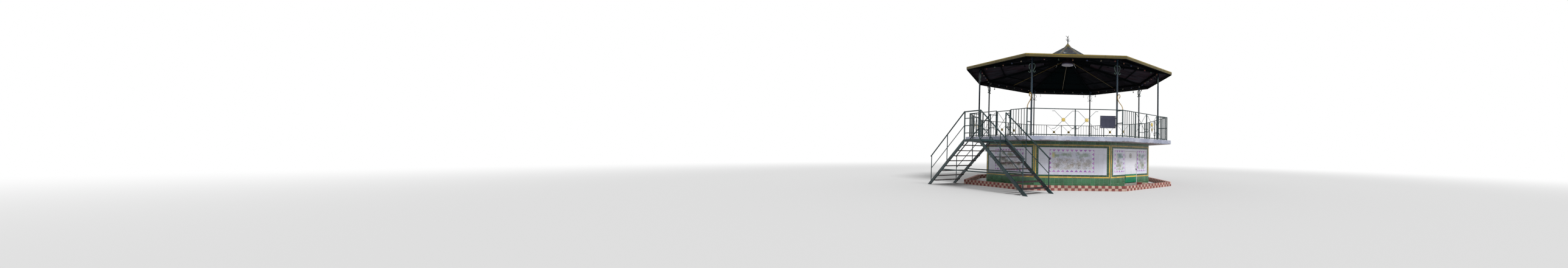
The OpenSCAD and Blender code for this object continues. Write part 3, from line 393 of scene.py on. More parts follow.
# Each paint's tones (fresh, faded, dirt, rust), chips, roughness (smooth, coarse), shine, inner and soiled
eaveLow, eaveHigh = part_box("fascia")
apexLow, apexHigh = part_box("apex_cap")
paints = {
    "greenPaint": ([(24, 44, 47), (40, 66, 69), (17, 25, 28), (84, 58, 44)], 0.4),
    # The posts' paint is the rails' dark green made bluer, as painted sky light, and darker, as painted shade
    "postPaintSkyLit": ([(18, 33, 45), (32, 53, 68), (14, 21, 28), (84, 58, 44)], 0.5),
    "paleGreenPaint": ([(64, 90, 83), (104, 126, 117), (42, 50, 47), (96, 70, 52)], 0.5),
    # The fascia's faces towards the axis are near black, as painted shade under the roof
    "fasciaGold": ([(138, 118, 42), (112, 98, 42), (56, 50, 26), (54, 48, 32)], 0.9, (0.45, 0.75), 0.35,
                   (14, 15, 17), (eaveHigh.z - 0.03, eaveLow.z + 0.07)),
    "capGold": ([(126, 112, 48), (82, 76, 44), (52, 46, 34), (46, 40, 32)], 1.2, (0.45, 0.75), 0.35, None,
                (apexHigh.z - 0.06, apexLow.z + 0.03)),
    "scrollGold": ([(154, 120, 44), (172, 144, 80), (88, 74, 44), (74, 56, 38)], 1.0),
    "sunGold": ([(216, 186, 84), (232, 208, 128), (150, 126, 70), (112, 84, 50)], 0.6),
    "conduitPaint": ([(100, 80, 26), (80, 66, 30), (40, 34, 24), (40, 32, 24)], 0.5, (0.32, 0.62), 0.1),
    # The eave frame, beam scrolls and ring beams under the roof are near black, as painted shade
    "shadeBlackSteel": ([(11, 13, 15), (18, 19, 22), (8, 8, 10), (30, 22, 20)], 0.6, (0.5, 0.8), 0.0),
    "hipSteel": ([(13, 18, 20), (20, 23, 26), (9, 12, 14), (30, 25, 26)], 0.6, (0.5, 0.8), 0.0),
    "drumBrown": ([(34, 25, 29), (24, 20, 24), (14, 12, 14), (56, 36, 32)], 0.8, (0.5, 0.8), 0.05),
    "finialSteel": ([(34, 40, 44), (52, 56, 58), (20, 22, 24), (78, 54, 40)], 0.8),
    "paleSteel": ([(196, 192, 186), (168, 164, 160), (104, 96, 86), (104, 70, 48)], 0.9),
    "boardGrey": ([(70, 72, 92), (58, 60, 80), (44, 44, 56), (60, 56, 58)], 0.3, (0.5, 0.75)),
    "treadBrown": ([(44, 31, 34), (62, 45, 48), (24, 19, 22), (104, 80, 74)], 0.9, (0.5, 0.85)),
}
finishes = {name: paintedSteel(name, *look) for name, look in paints.items()}
finishes |= {
    "plainTile": glazedTile("glazedTile", False), "pictureTile": glazedTile("pictureTile", True),
    "grout": roughStone("grout", (222, 224, 222), (190, 194, 190), grainSize=140.0, depth=0.001),
    "floorStone": roughStone("floorConcrete", (164, 158, 150), (132, 126, 120)),
    "mortar": roughStone("kerbMortar", (176, 160, 150), (134, 118, 108)),
    "blockStone": roughStone("blockStone", (200, 180, 160), (150, 120, 104), True),
    "slabConcrete": slabConcrete(), "roofSheet": roofSheet(), "cloudyLamp": cloudyLamp(),
    "bulbGlass": bulbGlass(), "doorPaint": doorPaint(doorMarks),
}
dressing = {
    "greenPaint": "gate_leaf rail_links stair_landing landing_rails stair_sides stair_ties "
                  + " ".join("railing_" + name for name in sideNames),
    "postPaintSkyLit": "roof_posts", "paleGreenPaint": "post_top_scrolls", "scrollGold": "corner_scrolls",
    "fasciaGold": "fascia", "capGold": "hip_flashings apex_cap", "conduitPaint": "conduits",
    "shadeBlackSteel": "eave_frame beam_scrolls ring_beams", "hipSteel": "hip_rafters purlins",
    "drumBrown": "roof_drum", "finialSteel": "finial", "boardGrey": "notice_board",
    "treadBrown": "stair_treads", "doorPaint": "door_leaf door_frame", "floorStone": "podium_floor",
    "mortar": "planter_kerb block_edging",
    "grout": "podium_walls wall_beside_door_left wall_beside_door_right wall_over_door",
    "slabConcrete": "deck_slab", "roofSheet": "roof_sheets cap_sheets cap_upstand", "cloudyLamp": "lamp",
    "bulbGlass": "eave_bulbs",
}
for finish, names in dressing.items():
    for name in names.split():
        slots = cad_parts[name].material_slots
        assert len(slots), name
        for slot in slots:
            slot.material = finishes[finish]
print("finishes made and given to the frame")


# A point on a side: along runs to the right seen from outside, out is away from the axis. With a the side's
# turn, x is along cos a + out sin a, and y is along sin a - out cos a.
def onSide(side, along, out, up):
    a = side * pi / 4
    along, out, up = np.broadcast_arrays(along, out, up)
    return np.stack([along * cos(a) + out * sin(a), along * sin(a) - out * cos(a), up], -1)


# Quads between neighbouring points of a grid, whose rows can be joined round
def gridFaces(rows, cols, joinedRound=False):
    r = np.arange(rows - 1)[:, None] * cols
    c = np.arange(cols if joinedRound else cols - 1)[None, :]
    after = (c + 1) % cols
    return np.stack([r + c, r + after, r + cols + after, r + cols + c], -1).reshape(-1, 4)


# Several shapes as one: their points in a row and their faces renumbered
def joined(shapes):
    allPoints, allFaces, start = [], [], 0
    for points, faces in shapes:
        points = np.asarray(points).reshape(-1, 3)
        allPoints.append(points)
        allFaces += [[int(i) + start for i in face] for face in faces]
        start += len(points)
    return np.concatenate(allPoints), allFaces


# A finished piece: a shape's points and faces, its finish, slot and body, and a tint or UV for each point
def addPiece(name, shape, finish, body="stand", tint=None, uv=None, smooth=False):
    points, faces = shape
    mesh = bpy.data.meshes.new(name)
    mesh.from_pydata(np.asarray(points).reshape(-1, 3).tolist(), [], [list(map(int, f)) for f in faces])
    if tint is not None:
        layer = mesh.color_attributes.new("tint", "FLOAT_COLOR", "POINT")
        layer.data.foreach_set("color", np.asarray(tint, np.float32).ravel())
    if uv is not None:
        corners = np.empty(len(mesh.loops), np.int32)
        mesh.loops.foreach_get("vertex_index", corners)
        layer = mesh.uv_layers.new(name="fromEdge")
        layer.data.foreach_set("uv", np.asarray(uv, np.float32).reshape(-1, 2)[corners].ravel())
    mesh.polygons.foreach_set("use_smooth", np.full(len(mesh.polygons), smooth))
    mesh.materials.append(finishes[finish])
    mesh.validate()
    piece = addObject(name, mesh)
    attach(piece, body)
    return piece


rng = np.random.default_rng(11)
wallHalf = plan["podiumFlat"] * tan(halfTurn)
tiling = {
    "tile": 0.157, "joint": 0.002, "chamfer": 0.0015, "standsOut": 0.0022, "uneven": 0.0006,
    "edge": wallHalf - 0.001, "sliver": 0.03,    # no tile is cut narrower than a sliver
    "foot": [0.003, 0.18, 0.337], "top": plan["slabUnder"] - 0.004,
    # Two yellow stripes frame the inner green, and that frames the white field: half widths, then heights
    "stripeHalf": (1.278, 1.32), "lowStripe": (0.372, 0.416), "highStripe": (1.495, 1.54),
    "fieldHalf": 1.2, "field": (0.478, 1.43), "pictureFrom": 0.575, "pictureRows": 5,
    "outerGreen": (68, 118, 84), "innerGreen": (44, 84, 58), "yellow": (218, 180, 84),
    # The white is tinted blue, as painted sky light
    "white": (225, 226, 241),
    "doorHalf": 0.43, "doorTop": 1.355, "overDoor": [-0.235, -0.078, 0.078, 0.235],
    "spread": 0.28, "whiteSpread": 0.05,    # how far a tile's own tone strays, as a share
    "plainGrid": 1, "pictureGrid": 16,      # quads across one tile's face
}
# Picture panels: for each side the middle and the number of tiles across
panels = {side: [(0.0, 10)] for side in range(8)}
panels |= {0: [(-0.033, 10)], 1: [(-0.783, 4), (0.762, 4)], 7: [(-0.018, 10)]}


# Tiles on a side: each is a grid over its rectangle; the outer ring of points lies on the wall and the rest
# stands out by the glaze's depth, set in by the chamfer; one face closes the back
def tileGrid(side, cells, fine):
    cells = np.array([cell[:4] for cell in cells])
    gap, chamfer = tiling["joint"] / 2, tiling["chamfer"]
    count, size = len(cells), fine + 3
    share = np.linspace(0, 1, fine + 1)
    spread = []
    for low, high in ((cells[:, 0] + gap, cells[:, 1] - gap), (cells[:, 2] + gap, cells[:, 3] - gap)):
        inner = (low + chamfer)[:, None] + (high - low - 2 * chamfer)[:, None] * share
        spread.append(np.concatenate([low[:, None], inner, high[:, None]], 1))
    proud = np.zeros((size, size))
    proud[1:-1, 1:-1] = 1
    depth = proud[None] * (tiling["standsOut"] + tiling["uneven"] * rng.random((count, 1, 1)))
    along = np.broadcast_to(spread[0][:, None, :], (count, size, size))
    up = np.broadcast_to(spread[1][:, :, None], (count, size, size))
    points = onSide(side, along, plan["podiumFlat"] + depth, up)
    index = np.arange(size * size).reshape(size, size)
    rim = np.concatenate([index[0, :-1], index[:-1, -1], index[-1, :0:-1], index[:0:-1, 0]])[::-1]
    start = (np.arange(count) * size * size)[:, None]
    fronts = (gridFaces(size, size)[None] + start[:, None]).reshape(-1, 4)
    return (points, fronts.tolist() + (rim[None] + start).tolist()), along, up


# A side's cuts with the door's own two, and none beside them that would leave a sliver
def withDoor(cuts):
    half = tiling["doorHalf"]
    return sorted([c for c in cuts if abs(abs(c) - half) > tiling["sliver"]] + [-half, half])


# Tile joints along a side: whole tiles outward from the panels' edges, cut where they meet the border
def columnCuts(side):
    size, limit, sliver = tiling["tile"], tiling["fieldHalf"], tiling["sliver"]
    inner = []
    for middle, across in panels[side]:
        inner += list(middle + size * (np.arange(across + 1) - across / 2))
    cuts = inner + [-limit, limit]
    cuts += list(np.arange(min(inner) - size, -limit + sliver, -size))
    cuts += list(np.arange(max(inner) + size, limit - sliver, size))
    if side == 1:
        cuts = withDoor(cuts + tiling["overDoor"])
    return sorted(set(np.round(cuts, 4)))


# Every tile's rectangle and zone on one side. A zone is the outermost of what its row and its column lie in:
# outer green, yellow stripe, inner green, or the white field with its pictures.
def layTiles(side):
    t = tiling
    size, edge, (inStripe, outStripe) = t["tile"], t["edge"], t["stripeHalf"]
    rows = list(t["pictureFrom"] + size * np.arange(t["pictureRows"] + 1))
    (a, b), (c, d), (e, f) = t["lowStripe"], t["field"], t["highStripe"]
    bands = [(0, t["foot"] + [a]), (1, [a, b]), (2, [b, c]), (3, [c] + rows + [d]), (2, [d, e]),
             (1, [e, f]), (0, [f, t["top"]])]
    whole = size * np.arange(-int(edge / size), int(edge / size) + 1)
    cells = []
    for band, heights in bands:
        if band == 0:
            cuts = [-edge] + [cut for cut in whole if abs(cut) < edge - t["sliver"]] + [edge]
            cuts = withDoor(cuts) if side == 1 else cuts
        else:
            cuts = [-edge, -outStripe, -inStripe] + columnCuts(side) + [inStripe, outStripe, edge]
        for low, high in zip(heights[:-1], heights[1:]):
            for left, right in zip(cuts[:-1], cuts[1:]):
                mid, level = (left + right) / 2, (low + high) / 2
                if side == 1 and abs(mid) < t["doorHalf"] and low < t["doorTop"]:
                    continue
                column = sum(abs(mid) < limit for limit in (outStripe, inStripe, t["fieldHalf"]))
                zone = ("outerGreen", "yellow", "innerGreen", "white")[min(band, column)]
                inPanel = any(abs(mid - middle) < size * across / 2 for middle, across in panels[side])
                if zone == "white" and inPanel and rows[0] < level < rows[-1]:
                    zone = "picture"
                cells.append((left, right, low, high, zone))
    return cells


# Smooth random waves: the sum of a few sine waves in random directions, over the root of their count
def waves(u, v, size, seed, count=7):
    total = 0
    for angle, shift, stretch in np.random.default_rng(seed).random((count, 3)):
        way = u * cos(angle * 2 * pi) + v * sin(angle * 2 * pi)
        total = total + np.sin(way * (0.6 + stretch) * 2 * pi / size + shift * 2 * pi)
    return total / count ** 0.5


# Edge that is 1 inside and 0 outside, with a soft rim
def soft(distance, rim):
    return np.clip(0.5 - distance / rim, 0, 1)


# What a picture is painted with, in tile units. Ovals lie so far in from the panel's sides, and between two
# shares of its height; then come their half widths, half heights, waviness with its size, and soft rim.
garden = {
    "crowns": (0.8, (0.68, 0.82), (0.35, 0.8), (0.2, 0.4), (0.35, 0.8), 0.9),
    "bushes": (1.0, (0.22, 0.6), (0.4, 0.8), (0.25, 0.5), (0.25, 0.7), 0.5),
    "blots": (1.0, (0.2, 0.46), (0.05, 0.16), (0.04, 0.1), (0, 1), 0.8),
    "haze": (178, 186, 208), "glow": (226, 212, 128), "ochre": (212, 194, 168), "moss": (118, 146, 108),
    "brush": [(150, 126, 108), (122, 104, 92), (170, 146, 122), (92, 88, 88)], "blot": (88, 84, 86),
    "levels": (0.17, 0.27, 0.56), "level": (162, 132, 106), "inset": 0.52,
    # Brushed loops: inset from the sides, lowest in tiles and highest as a share, half widths, half heights
    "strokeIn": 0.9, "strokeUps": (0.8, 0.62), "strokeWide": (0.16, 0.5), "strokeTall": (0.14, 0.42),
    "wobble": 0.14, "lineHalf": 0.018, "lineRim": 0.045,
}
plainMood = {"leaf": (132, 152, 128), "bush": (138, 136, 132), "glow": 0.75, "shrubs": 1.1, "dark": 0.35,
             "strokes": 8, "line": 0.8, "moss": 0.2}
# Side 7's picture is darker, with denser dark shrubs and no glow: partly its own colours, partly painted
# shade
moods = {7: {"leaf": (132, 138, 116), "bush": (84, 88, 70), "glow": 0.0, "shrubs": 1.4, "dark": 0.75,
             "strokes": 5, "line": 0.8, "moss": 0.3},
         1: {"leaf": (98, 138, 130), "bush": (112, 120, 92), "glow": 0.3, "shrubs": 1.6, "dark": 0.4,
             "strokes": 3.5, "line": 0.65, "moss": 0.7}}


# Hand-painted picture for a panel, in tile units across and up: a hazy leafy wash above, ochre ground below,
# shrubs, and brushed arcs and loops in brown. Each is a share of paint laid over the colour so far, and it
# all ends in a soft edge half a tile inside the panel.
def gardenColours(u, v, wide, seed, mood):
    luck = np.random.default_rng(seed)
    top = tiling["pictureRows"]
    fromEdge = np.minimum(np.minimum(u, wide - u), np.minimum(v, top - v))
    inside = soft(garden["inset"] - fromEdge + 0.02 * waves(u, v, 0.8, seed + 9), 0.12)
    colour = np.zeros(u.shape + (3,)) + tone(*tiling["white"])[:3]

    def paint(share, tint):
        nonlocal colour
        share = (np.clip(share, 0, 1) * inside)[..., None]
        colour = colour * (1 - share) + np.array(tone(*tint)[:3]) * share

    def paintOvals(kind, count, share, tint):
        inset, ups, wides, talls, (wavy, waveSize), rim = garden[kind]
        for number in range(int(wide * count)):
            cu, cv = luck.uniform(inset, wide - inset), luck.uniform(*ups) * top
            oval = np.hypot((u - cu) / luck.uniform(*wides), (v - cv) / luck.uniform(*talls)) - 1
            paint(soft(oval + wavy * waves(u, v, waveSize, seed + number), rim) * share, tint)

    haze = np.clip((v - 0.4 * top) / 1.4, 0, 1) * np.clip(0.6 + 0.4 * waves(u, v, 2.6, seed), 0, 1)
    paint(haze * 0.55, garden["haze"])
    paintOvals("crowns", 1.1, 0.6, mood["leaf"])
    glow = soft(np.hypot((u - 0.85) / 0.45, (v - 0.74 * top) / 0.9) - 0.6, 0.7)
    paint(glow * mood["glow"], garden["glow"])
    ochre = soft(v - 0.5 * top, 1.4) * np.clip(0.3 + 0.7 * waves(u, v, 2.1, seed + 2), 0, 1)
    paint(ochre * 0.35, garden["ochre"])
    paintOvals("bushes", mood["shrubs"], mood["dark"], mood["bush"])
    moss = soft(v - 0.36 * top, 1.2) * np.clip(0.35 + 0.8 * waves(u, v, 1.1, seed + 4), 0, 1)
    paint(moss * mood["moss"], garden["moss"])
    inset, (lowest, highest) = garden["strokeIn"], garden["strokeUps"]
    for stroke in range(int(wide * mood["strokes"])):
        cu = luck.uniform(inset, wide - inset)
        cv = lowest + (highest * top - lowest) * luck.beta(1.4, 1.4)
        broad, tall = luck.uniform(*garden["strokeWide"]), luck.uniform(*garden["strokeTall"])
        turn, gap = luck.uniform(0, 2 * pi, 2)
        angle = np.arctan2((v - cv) / tall, (u - cu) / broad)
        loop = 1 + garden["wobble"] * np.sin(3 * angle + turn)
        reach = np.hypot((u - cu) / broad, (v - cv) / tall) - loop
        line = soft(np.abs(reach) * min(broad, tall) - garden["lineHalf"], garden["lineRim"])
        line = line * np.clip(1.3 + 1.6 * np.cos(angle - gap), 0, 1)
        paint(line * mood["line"], garden["brush"][stroke % 4])
    for level in garden["levels"]:
        row = top * level + 0.09 * np.sin(u * 1.3 + seed + level * 20)
        broken = np.clip(0.6 + waves(u, 0 * v, 2.4, seed + int(level * 100)), 0, 1)
        paint(soft(np.abs(v - row) - 0.02, 0.06) * broken * 0.55, garden["level"])
    paintOvals("blots", 1.6, 0.6, garden["blot"])
    return colour


# Colours with the fourth value, 1, that a tint has
def asTint(colours):
    return np.concatenate([colours, np.ones(colours.shape[:-1] + (1,))], -1)


# Tints of whole tiles: the zone's colour, a little lighter or darker for each tile
def tileTints(cells, shape):
    base = np.array([tone(*tiling[cell[4]])[:3] for cell in cells])
    spread = np.array([tiling["whiteSpread" if cell[4] == "white" else "spread"] for cell in cells])
    base = base * (1 + spread * (rng.random(len(cells)) - 0.5) * 2)[:, None]
    return asTint(np.broadcast_to(base[:, None, None, :], shape + (3,)))


for side, sideName in enumerate(sideNames):
    cells = layTiles(side)
    plain = [c for c in cells if c[4] != "picture"]
    shape, along, up = tileGrid(side, plain, tiling["plainGrid"])
    addPiece("tilework_" + sideName, shape, "plainTile", tint=tileTints(plain, along.shape))
    for number, (middle, across) in enumerate(panels[side]):
        half = tiling["tile"] * across / 2
        mine = [c for c in cells if c[4] == "picture" and abs((c[0] + c[1]) / 2 - middle) < half]
        shape, along, up = tileGrid(side, mine, tiling["pictureGrid"])
        u = (along - middle) / tiling["tile"] + across / 2
        v = (up - tiling["pictureFrom"]) / tiling["tile"]
        colours = gardenColours(u, v, across, 3 + 7 * side + number, moods.get(side, plainMood))
        edges = np.stack([np.minimum(u, across - u), np.minimum(v, tiling["pictureRows"] - v)], -1)
        name = "picture_%s_%d" % (sideName, number + 1)
        addPiece(name, shape, "pictureTile", tint=asTint(colours), uv=edges)
print("podium tiled")


# Rows scaled to length 1
def unitRows(rows):
    return rows / np.linalg.norm(rows, axis=1)[:, None]


# Block with chamfered edges: each of its eight corners gives three points, one on each face that meets there.
# Its 26 faces look along one, two or three axes, each axis one way (1) or the other (2). A face joins the
# points on that side, in order of their angle round their middle.
def blockShape():
    signs = np.array(list(np.ndindex(2, 2, 2)))
    corner, kept = np.repeat(signs, 3, 0), np.tile(np.eye(3), (8, 1))
    unit = (corner * 2 - 1) * np.where(kept > 0, 1.0, 0.8)
    ways = sorted(np.ndindex(3, 3, 3), key=lambda way: (sum(w > 0 for w in way), [w == 0 for w in way], way))
    faces = []
    for way in ways[1:]:
        held = [i for i in range(8) if all(w in (0, s + 1) for w, s in zip(way, signs[i]))]
        group = [i * 3 + axis for axis in range(3) if way[axis] for i in held]
        spots = unit[group]
        centre = spots.mean(0)
        first = unitRows(spots[:1] - centre)[0]
        second = np.cross(unitRows(centre[None])[0], first)
        order = np.argsort(np.arctan2((spots - centre) @ second, (spots - centre) @ first))
        faces.append([group[k] for k in order[::-1]])
    return corner, kept, faces


blockCorner, blockKept, blockFaces = blockShape()


# Many blocks on one side from arrays of their low and high bounds (along, out, up). A point is set in by the
# chamfer each way but its own; mitred blocks end at the corners, where along is out times tan(halfTurn).
def layBlocks(side, low, high, chamfer, mitre=0.0):
    low, high = np.asarray(low, float)[:, None], np.asarray(high, float)[:, None]
    corner = blockCorner
    spots = low * (1 - corner) + high * corner + (1 - 2 * corner) * chamfer * (1 - blockKept)
    along, out, up = np.moveaxis(spots, -1, 0)
    if mitre:
        reach = out * tan(halfTurn) - mitre
        along = np.clip(along, -reach, reach)
    faces = [[k + len(corner) * n for k in face] for n in range(len(low)) for face in blockFaces]
    return onSide(side, along, out, up), faces


kerbLook = {"block": 0.112, "joint": 0.007, "proud": 0.006, "chamfer": 0.004, "thick": 0.12, "courses": 2,
            "mitre": 0.004, "spread": 0.16, "red": (136, 58, 58), "cream": (204, 174, 160)}


# Tints of whole blocks: red or cream, a little lighter or darker for each block, and all brighter by a share
# of painted sunlight
def blockTints(red, paintedSunlight=1.0):
    base = np.where(red[:, None], tone(*kerbLook["red"])[:3], tone(*kerbLook["cream"])[:3])
    base = base * paintedSunlight * (1 + kerbLook["spread"] * 2 * (rng.random(len(red)) - 0.5))[:, None]
    return np.repeat(asTint(base), len(blockCorner), 0)


# Kerb: two courses of blocks, red and cream by turns both ways, with the mortar showing in the joints
def layKerb(k):
    shapes, tints = [], []
    half = plan["kerbFlat"] * tan(halfTurn)
    count = round(2 * half / k["block"])
    step = 2 * half / count
    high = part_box("planter_kerb")[1].z / k["courses"]
    n, course = [a.ravel() for a in np.meshgrid(np.arange(count), np.arange(k["courses"]))]
    left, level = -half + n * step, np.ones(len(n))
    low = np.stack([left + k["joint"] / 2, level * (plan["kerbFlat"] - k["thick"] - k["proud"]),
                    course * high + k["joint"] * (course > 0)], -1)
    top = np.stack([left + step - k["joint"] / 2, level * (plan["kerbFlat"] + k["proud"]),
                    (course + 1) * high + k["proud"] * (course == k["courses"] - 1)], -1)
    for side in range(8):
        shapes.append(layBlocks(side, low, top, k["chamfer"], k["mitre"]))
        tints.append(blockTints((n + course + side) % 2 == 0))
    addPiece("kerb_blocks", joined(shapes), "blockStone", tint=np.concatenate(tints))


layKerb(kerbLook)

# Blocks beside the door, out to the kerb, red and cream by turns, brighter than the kerb's as painted
# sunlight
edgingLook = {"count": 3, "wide": 0.11, "joint": 0.003, "fromWall": 0.004, "fromKerb": 0.005,
              "overLeft": 0.002, "proud": 0.004, "paintedSunlight": 1.3}


# Low and high bounds: the way from wall to kerb in equal cuts, less a joint at each end
def layEdging(k):
    far = plan["kerbFlat"] - kerbLook["thick"] - k["fromKerb"]
    cuts = np.linspace(plan["podiumFlat"] + k["fromWall"], far, k["count"] + 1)
    left, top = tiling["doorHalf"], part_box("block_edging")[1].z + k["proud"]
    lows = [(left - k["overLeft"], cut + k["joint"], k["joint"]) for cut in cuts[:-1]]
    highs = [(left + k["wide"] + k["proud"], cut - k["joint"], top) for cut in cuts[1:]]
    addPiece("edging_blocks", layBlocks(1, lows, highs, kerbLook["chamfer"]), "blockStone",
             tint=blockTints(np.arange(k["count"]) % 2 == 0, k["paintedSunlight"]))


layEdging(edgingLook)
print("kerb and edging laid")


# Angles round a circle
def turns(around):
    return np.arange(around) * 2 * pi / around


# Faces of rings of points, one ring above the other, closed at both ends
def ringFaces(rings, around):
    last = (rings - 1) * around
    ends = [list(range(around))[::-1], list(range(last, last + around))]
    return gridFaces(rings, around, True).tolist() + ends


# Shape turned about an upright axis through a spot, from (radius, height) pairs given from the bottom up
def turned(profile, spot, around):
    angle = turns(around)
    radius, height = np.asarray(profile, float).T[:, :, None]
    points = np.stack([radius * np.cos(angle), radius * np.sin(angle), height + 0 * angle], -1)
    return points + np.asarray(spot, float), ringFaces(len(profile), around)


# Coloured bulbs in dark sockets under the ring beams, in place of the plain ones; heights from the beam down
bulbs = {"perSide": 6, "shift": 0.17, "radius": 0.026, "around": 16,
         "socket": [(0.0125, -0.040), (0.0135, -0.036), (0.0135, -0.022), (0.0115, -0.019), (0.0115, -0.001)],
         "glass": [(0.004, -0.0915), (0.013, -0.089), (0.021, -0.082), (0.0252, -0.072), (0.0246, -0.062),
                   (0.0202, -0.052), (0.0152, -0.045), (0.0122, -0.039)],
         "colours": [(104, 34, 34), (28, 72, 50), (128, 76, 36), (32, 50, 92), (124, 112, 92)],
         "first": [0, 2, 4, 3, 3, 4, 1, 0], "socketTint": (26, 26, 28)}


# Along a side the bulbs stand a sixth of the side between posts apart, all shifted to one hand
def hangBulbs(look):
    low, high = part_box("eave_bulbs")
    out, step = -low.y - look["radius"], 2 * plan["postCircle"] * sin(halfTurn) / look["perSide"]
    shapes, tints = [], []
    for side in range(8):
        for i in range(look["perSide"]):
            along = (i - (look["perSide"] - 1) / 2) * step + look["shift"]
            tint = look["colours"][(look["first"][side] + i) % len(look["colours"])]
            for profile, own in ((look["glass"], tint), (look["socket"], look["socketTint"])):
                shapes.append(turned(profile, onSide(side, along, out, high.z), look["around"]))
                tints.append(np.tile(tone(*own), (len(profile) * look["around"], 1)))
    tints = np.concatenate(tints)
    piece = addPiece("coloured_bulbs", joined(shapes), "bulbGlass", tint=tints, smooth=True)
    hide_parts("eave_bulbs")


hangBulbs(bulbs)

# Gold suns over the discs where the rods cross: rays on the rim, a sunk ring and a boss, alike on both faces.
# Side 1 has one, at its right, and side 7 none.
suns = {"sides": {0: (-1, 1), 1: (1,), 2: (-1, 1), 3: (-1, 1), 4: (-1, 1), 5: (-1, 1), 6: (-1, 1)},
        "along": 0.3925, "high": 0.55, "rays": 12, "reach": 0.014, "around": 96, "raysFrom": 0.03,
        "raysTo": 0.0575, "face": [(0.002, 0.026), (0.014, 0.0245), (0.019, 0.019), (0.023, 0.0145),
                                   (0.034, 0.0145), (0.045, 0.0165), (0.0545, 0.0135), (0.0575, 0.006)]}


# The face's (radius, depth) profile goes out and comes back behind; a ray adds its reach times a raised
# cosine to the power 1.5, times the share of the way from raysFrom to raysTo
def placeSuns(look):
    angle = turns(look["around"])
    front = np.array(look["face"])
    radius = np.concatenate([front[:, 0], front[::-1, 0]])[:, None]
    out = np.concatenate([front[:, 1], -front[::-1, 1]])[:, None]
    rim = np.clip((radius - look["raysFrom"]) / (look["raysTo"] - look["raysFrom"]), 0, 1)
    wide = radius + look["reach"] * rim * (0.5 + 0.5 * np.cos(look["rays"] * angle)) ** 1.5
    faces = [f[::-1] for f in ringFaces(len(radius), look["around"])]
    shapes = []
    for side, spots in look["sides"].items():
        for spot in spots:
            shapes.append((onSide(side, spot * look["along"] - wide * np.sin(angle), plan["railFlat"] + out,
                                  plan["deckTop"] + look["high"] + wide * np.cos(angle)), faces))
    addPiece("gold_suns", joined(shapes), "sunGold", smooth=True)


placeSuns(suns)


# Points along a curve drawn by four handles, weighted by t and 1 - t as a cubic Bezier has them
def curve(handles, count):
    t = np.linspace(0, 1, count)[:, None]
    a, b, c, d = np.asarray(handles, float)
    return (1 - t) ** 3 * a + 3 * t * (1 - t) ** 2 * b + 3 * t * t * (1 - t) * c + t ** 3 * d


# Round bar along a row of points, thinning from one radius to another: a circle square to the path at each
def bentBar(path, thick, thin, around=12):
    ahead = unitRows(np.gradient(path, axis=0))
    across = unitRows(np.cross(ahead, [0.0, 1.0, 0.02]))
    other = np.cross(ahead, across)
    angle = turns(around)[None, :, None]
    radius = np.linspace(thick, thin, len(path))[:, None, None]
    ring = np.cos(angle) * across[:, None] + np.sin(angle) * other[:, None]
    return path[:, None] + ring * radius, ringFaces(len(path), around)


# Wrought finial like a bare branch: a stem and curled horns, each [handles in x and z, turn, thick, thin]
branch = {
    "foot": [(0.034, 0.0), (0.034, 0.012), (0.026, 0.024), (0.023, 0.04)], "footAround": 20, "from": 0.012,
    "steps": 18, "horns": [
        [[(0.0, -0.012), (0.008, 0.10), (-0.008, 0.20), (0.0, 0.315)], 0, 0.022, 0.016],
        [[(0.0, 0.27), (0.006, 0.33), (0.03, 0.33), (0.036, 0.37)], 0, 0.016, 0.005],
        [[(0.0, 0.27), (-0.03, 0.33), (-0.07, 0.315), (-0.096, 0.366)], 0, 0.016, 0.005],
        [[(0.0, 0.09), (-0.02, 0.16), (-0.07, 0.14), (-0.088, 0.222)], 0, 0.017, 0.005],
        [[(0.0, 0.12), (0.02, 0.19), (0.05, 0.17), (0.052, 0.25)], 0, 0.016, 0.005],
        [[(0.0, 0.10), (0.03, 0.15), (0.10, 0.12), (0.128, 0.178)], 0.6, 0.014, 0.005],
        [[(0.0, 0.16), (0.03, 0.22), (0.07, 0.2), (0.085, 0.262)], 2.4, 0.014, 0.005],
    ],
}


# Each horn's handles are turned about the upright axis, and its bar follows their curve
def makeFinial(look):
    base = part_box("finial")[0].z
    shapes = []
    for handles, turn, thick, thin in look["horns"]:
        spots = [(x * cos(turn), x * sin(turn), z + base + look["from"]) for x, z in handles]
        shapes.append(bentBar(curve(spots, look["steps"]), thick, thin))
    shapes.append(turned(look["foot"], (0, 0, base), look["footAround"]))
    piece = addPiece("branch_finial", joined(shapes), "finialSteel", smooth=True)
    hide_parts("finial")


makeFinial(branch)

# Nuts on studs at the corners of each post's base plate, as (radius, height) pairs over the plate
bolts = {"spread": 0.057, "plate": 0.012, "nut": [(0.0135, 0.0), (0.0135, 0.0088), (0.01161, 0.011)],
         "stud": [(0.0065, 0.011), (0.0065, 0.0175), (0.00455, 0.019)], "nutSides": 6, "studSides": 10}


# A post stands at a side's right corner, half a side on
def placeBolts(look):
    shapes = []
    for side in range(8):
        for a in (-look["spread"], look["spread"]):
            for b in (-look["spread"], look["spread"]):
                spot = onSide(side + 0.5, a, plan["postCircle"] + b, plan["deckTop"] + look["plate"])
                shapes += [turned(look[kind], spot, look[kind + "Sides"]) for kind in ("nut", "stud")]
    addPiece("base_bolts", joined(shapes), "finialSteel")


placeBolts(bolts)

# Thin raised edge on both faces of the notice board, with a screw head near each corner
boardLook = {"wide": 0.535, "halfThick": 0.01, "edge": 0.018, "proud": 0.003, "over": 0.001,
             "chamfer": 0.0015, "screwIn": 0.05, "screw": [(0.009, 0.0), (0.008, 0.003), (0.003, 0.0045)],
             "screwAround": 10}


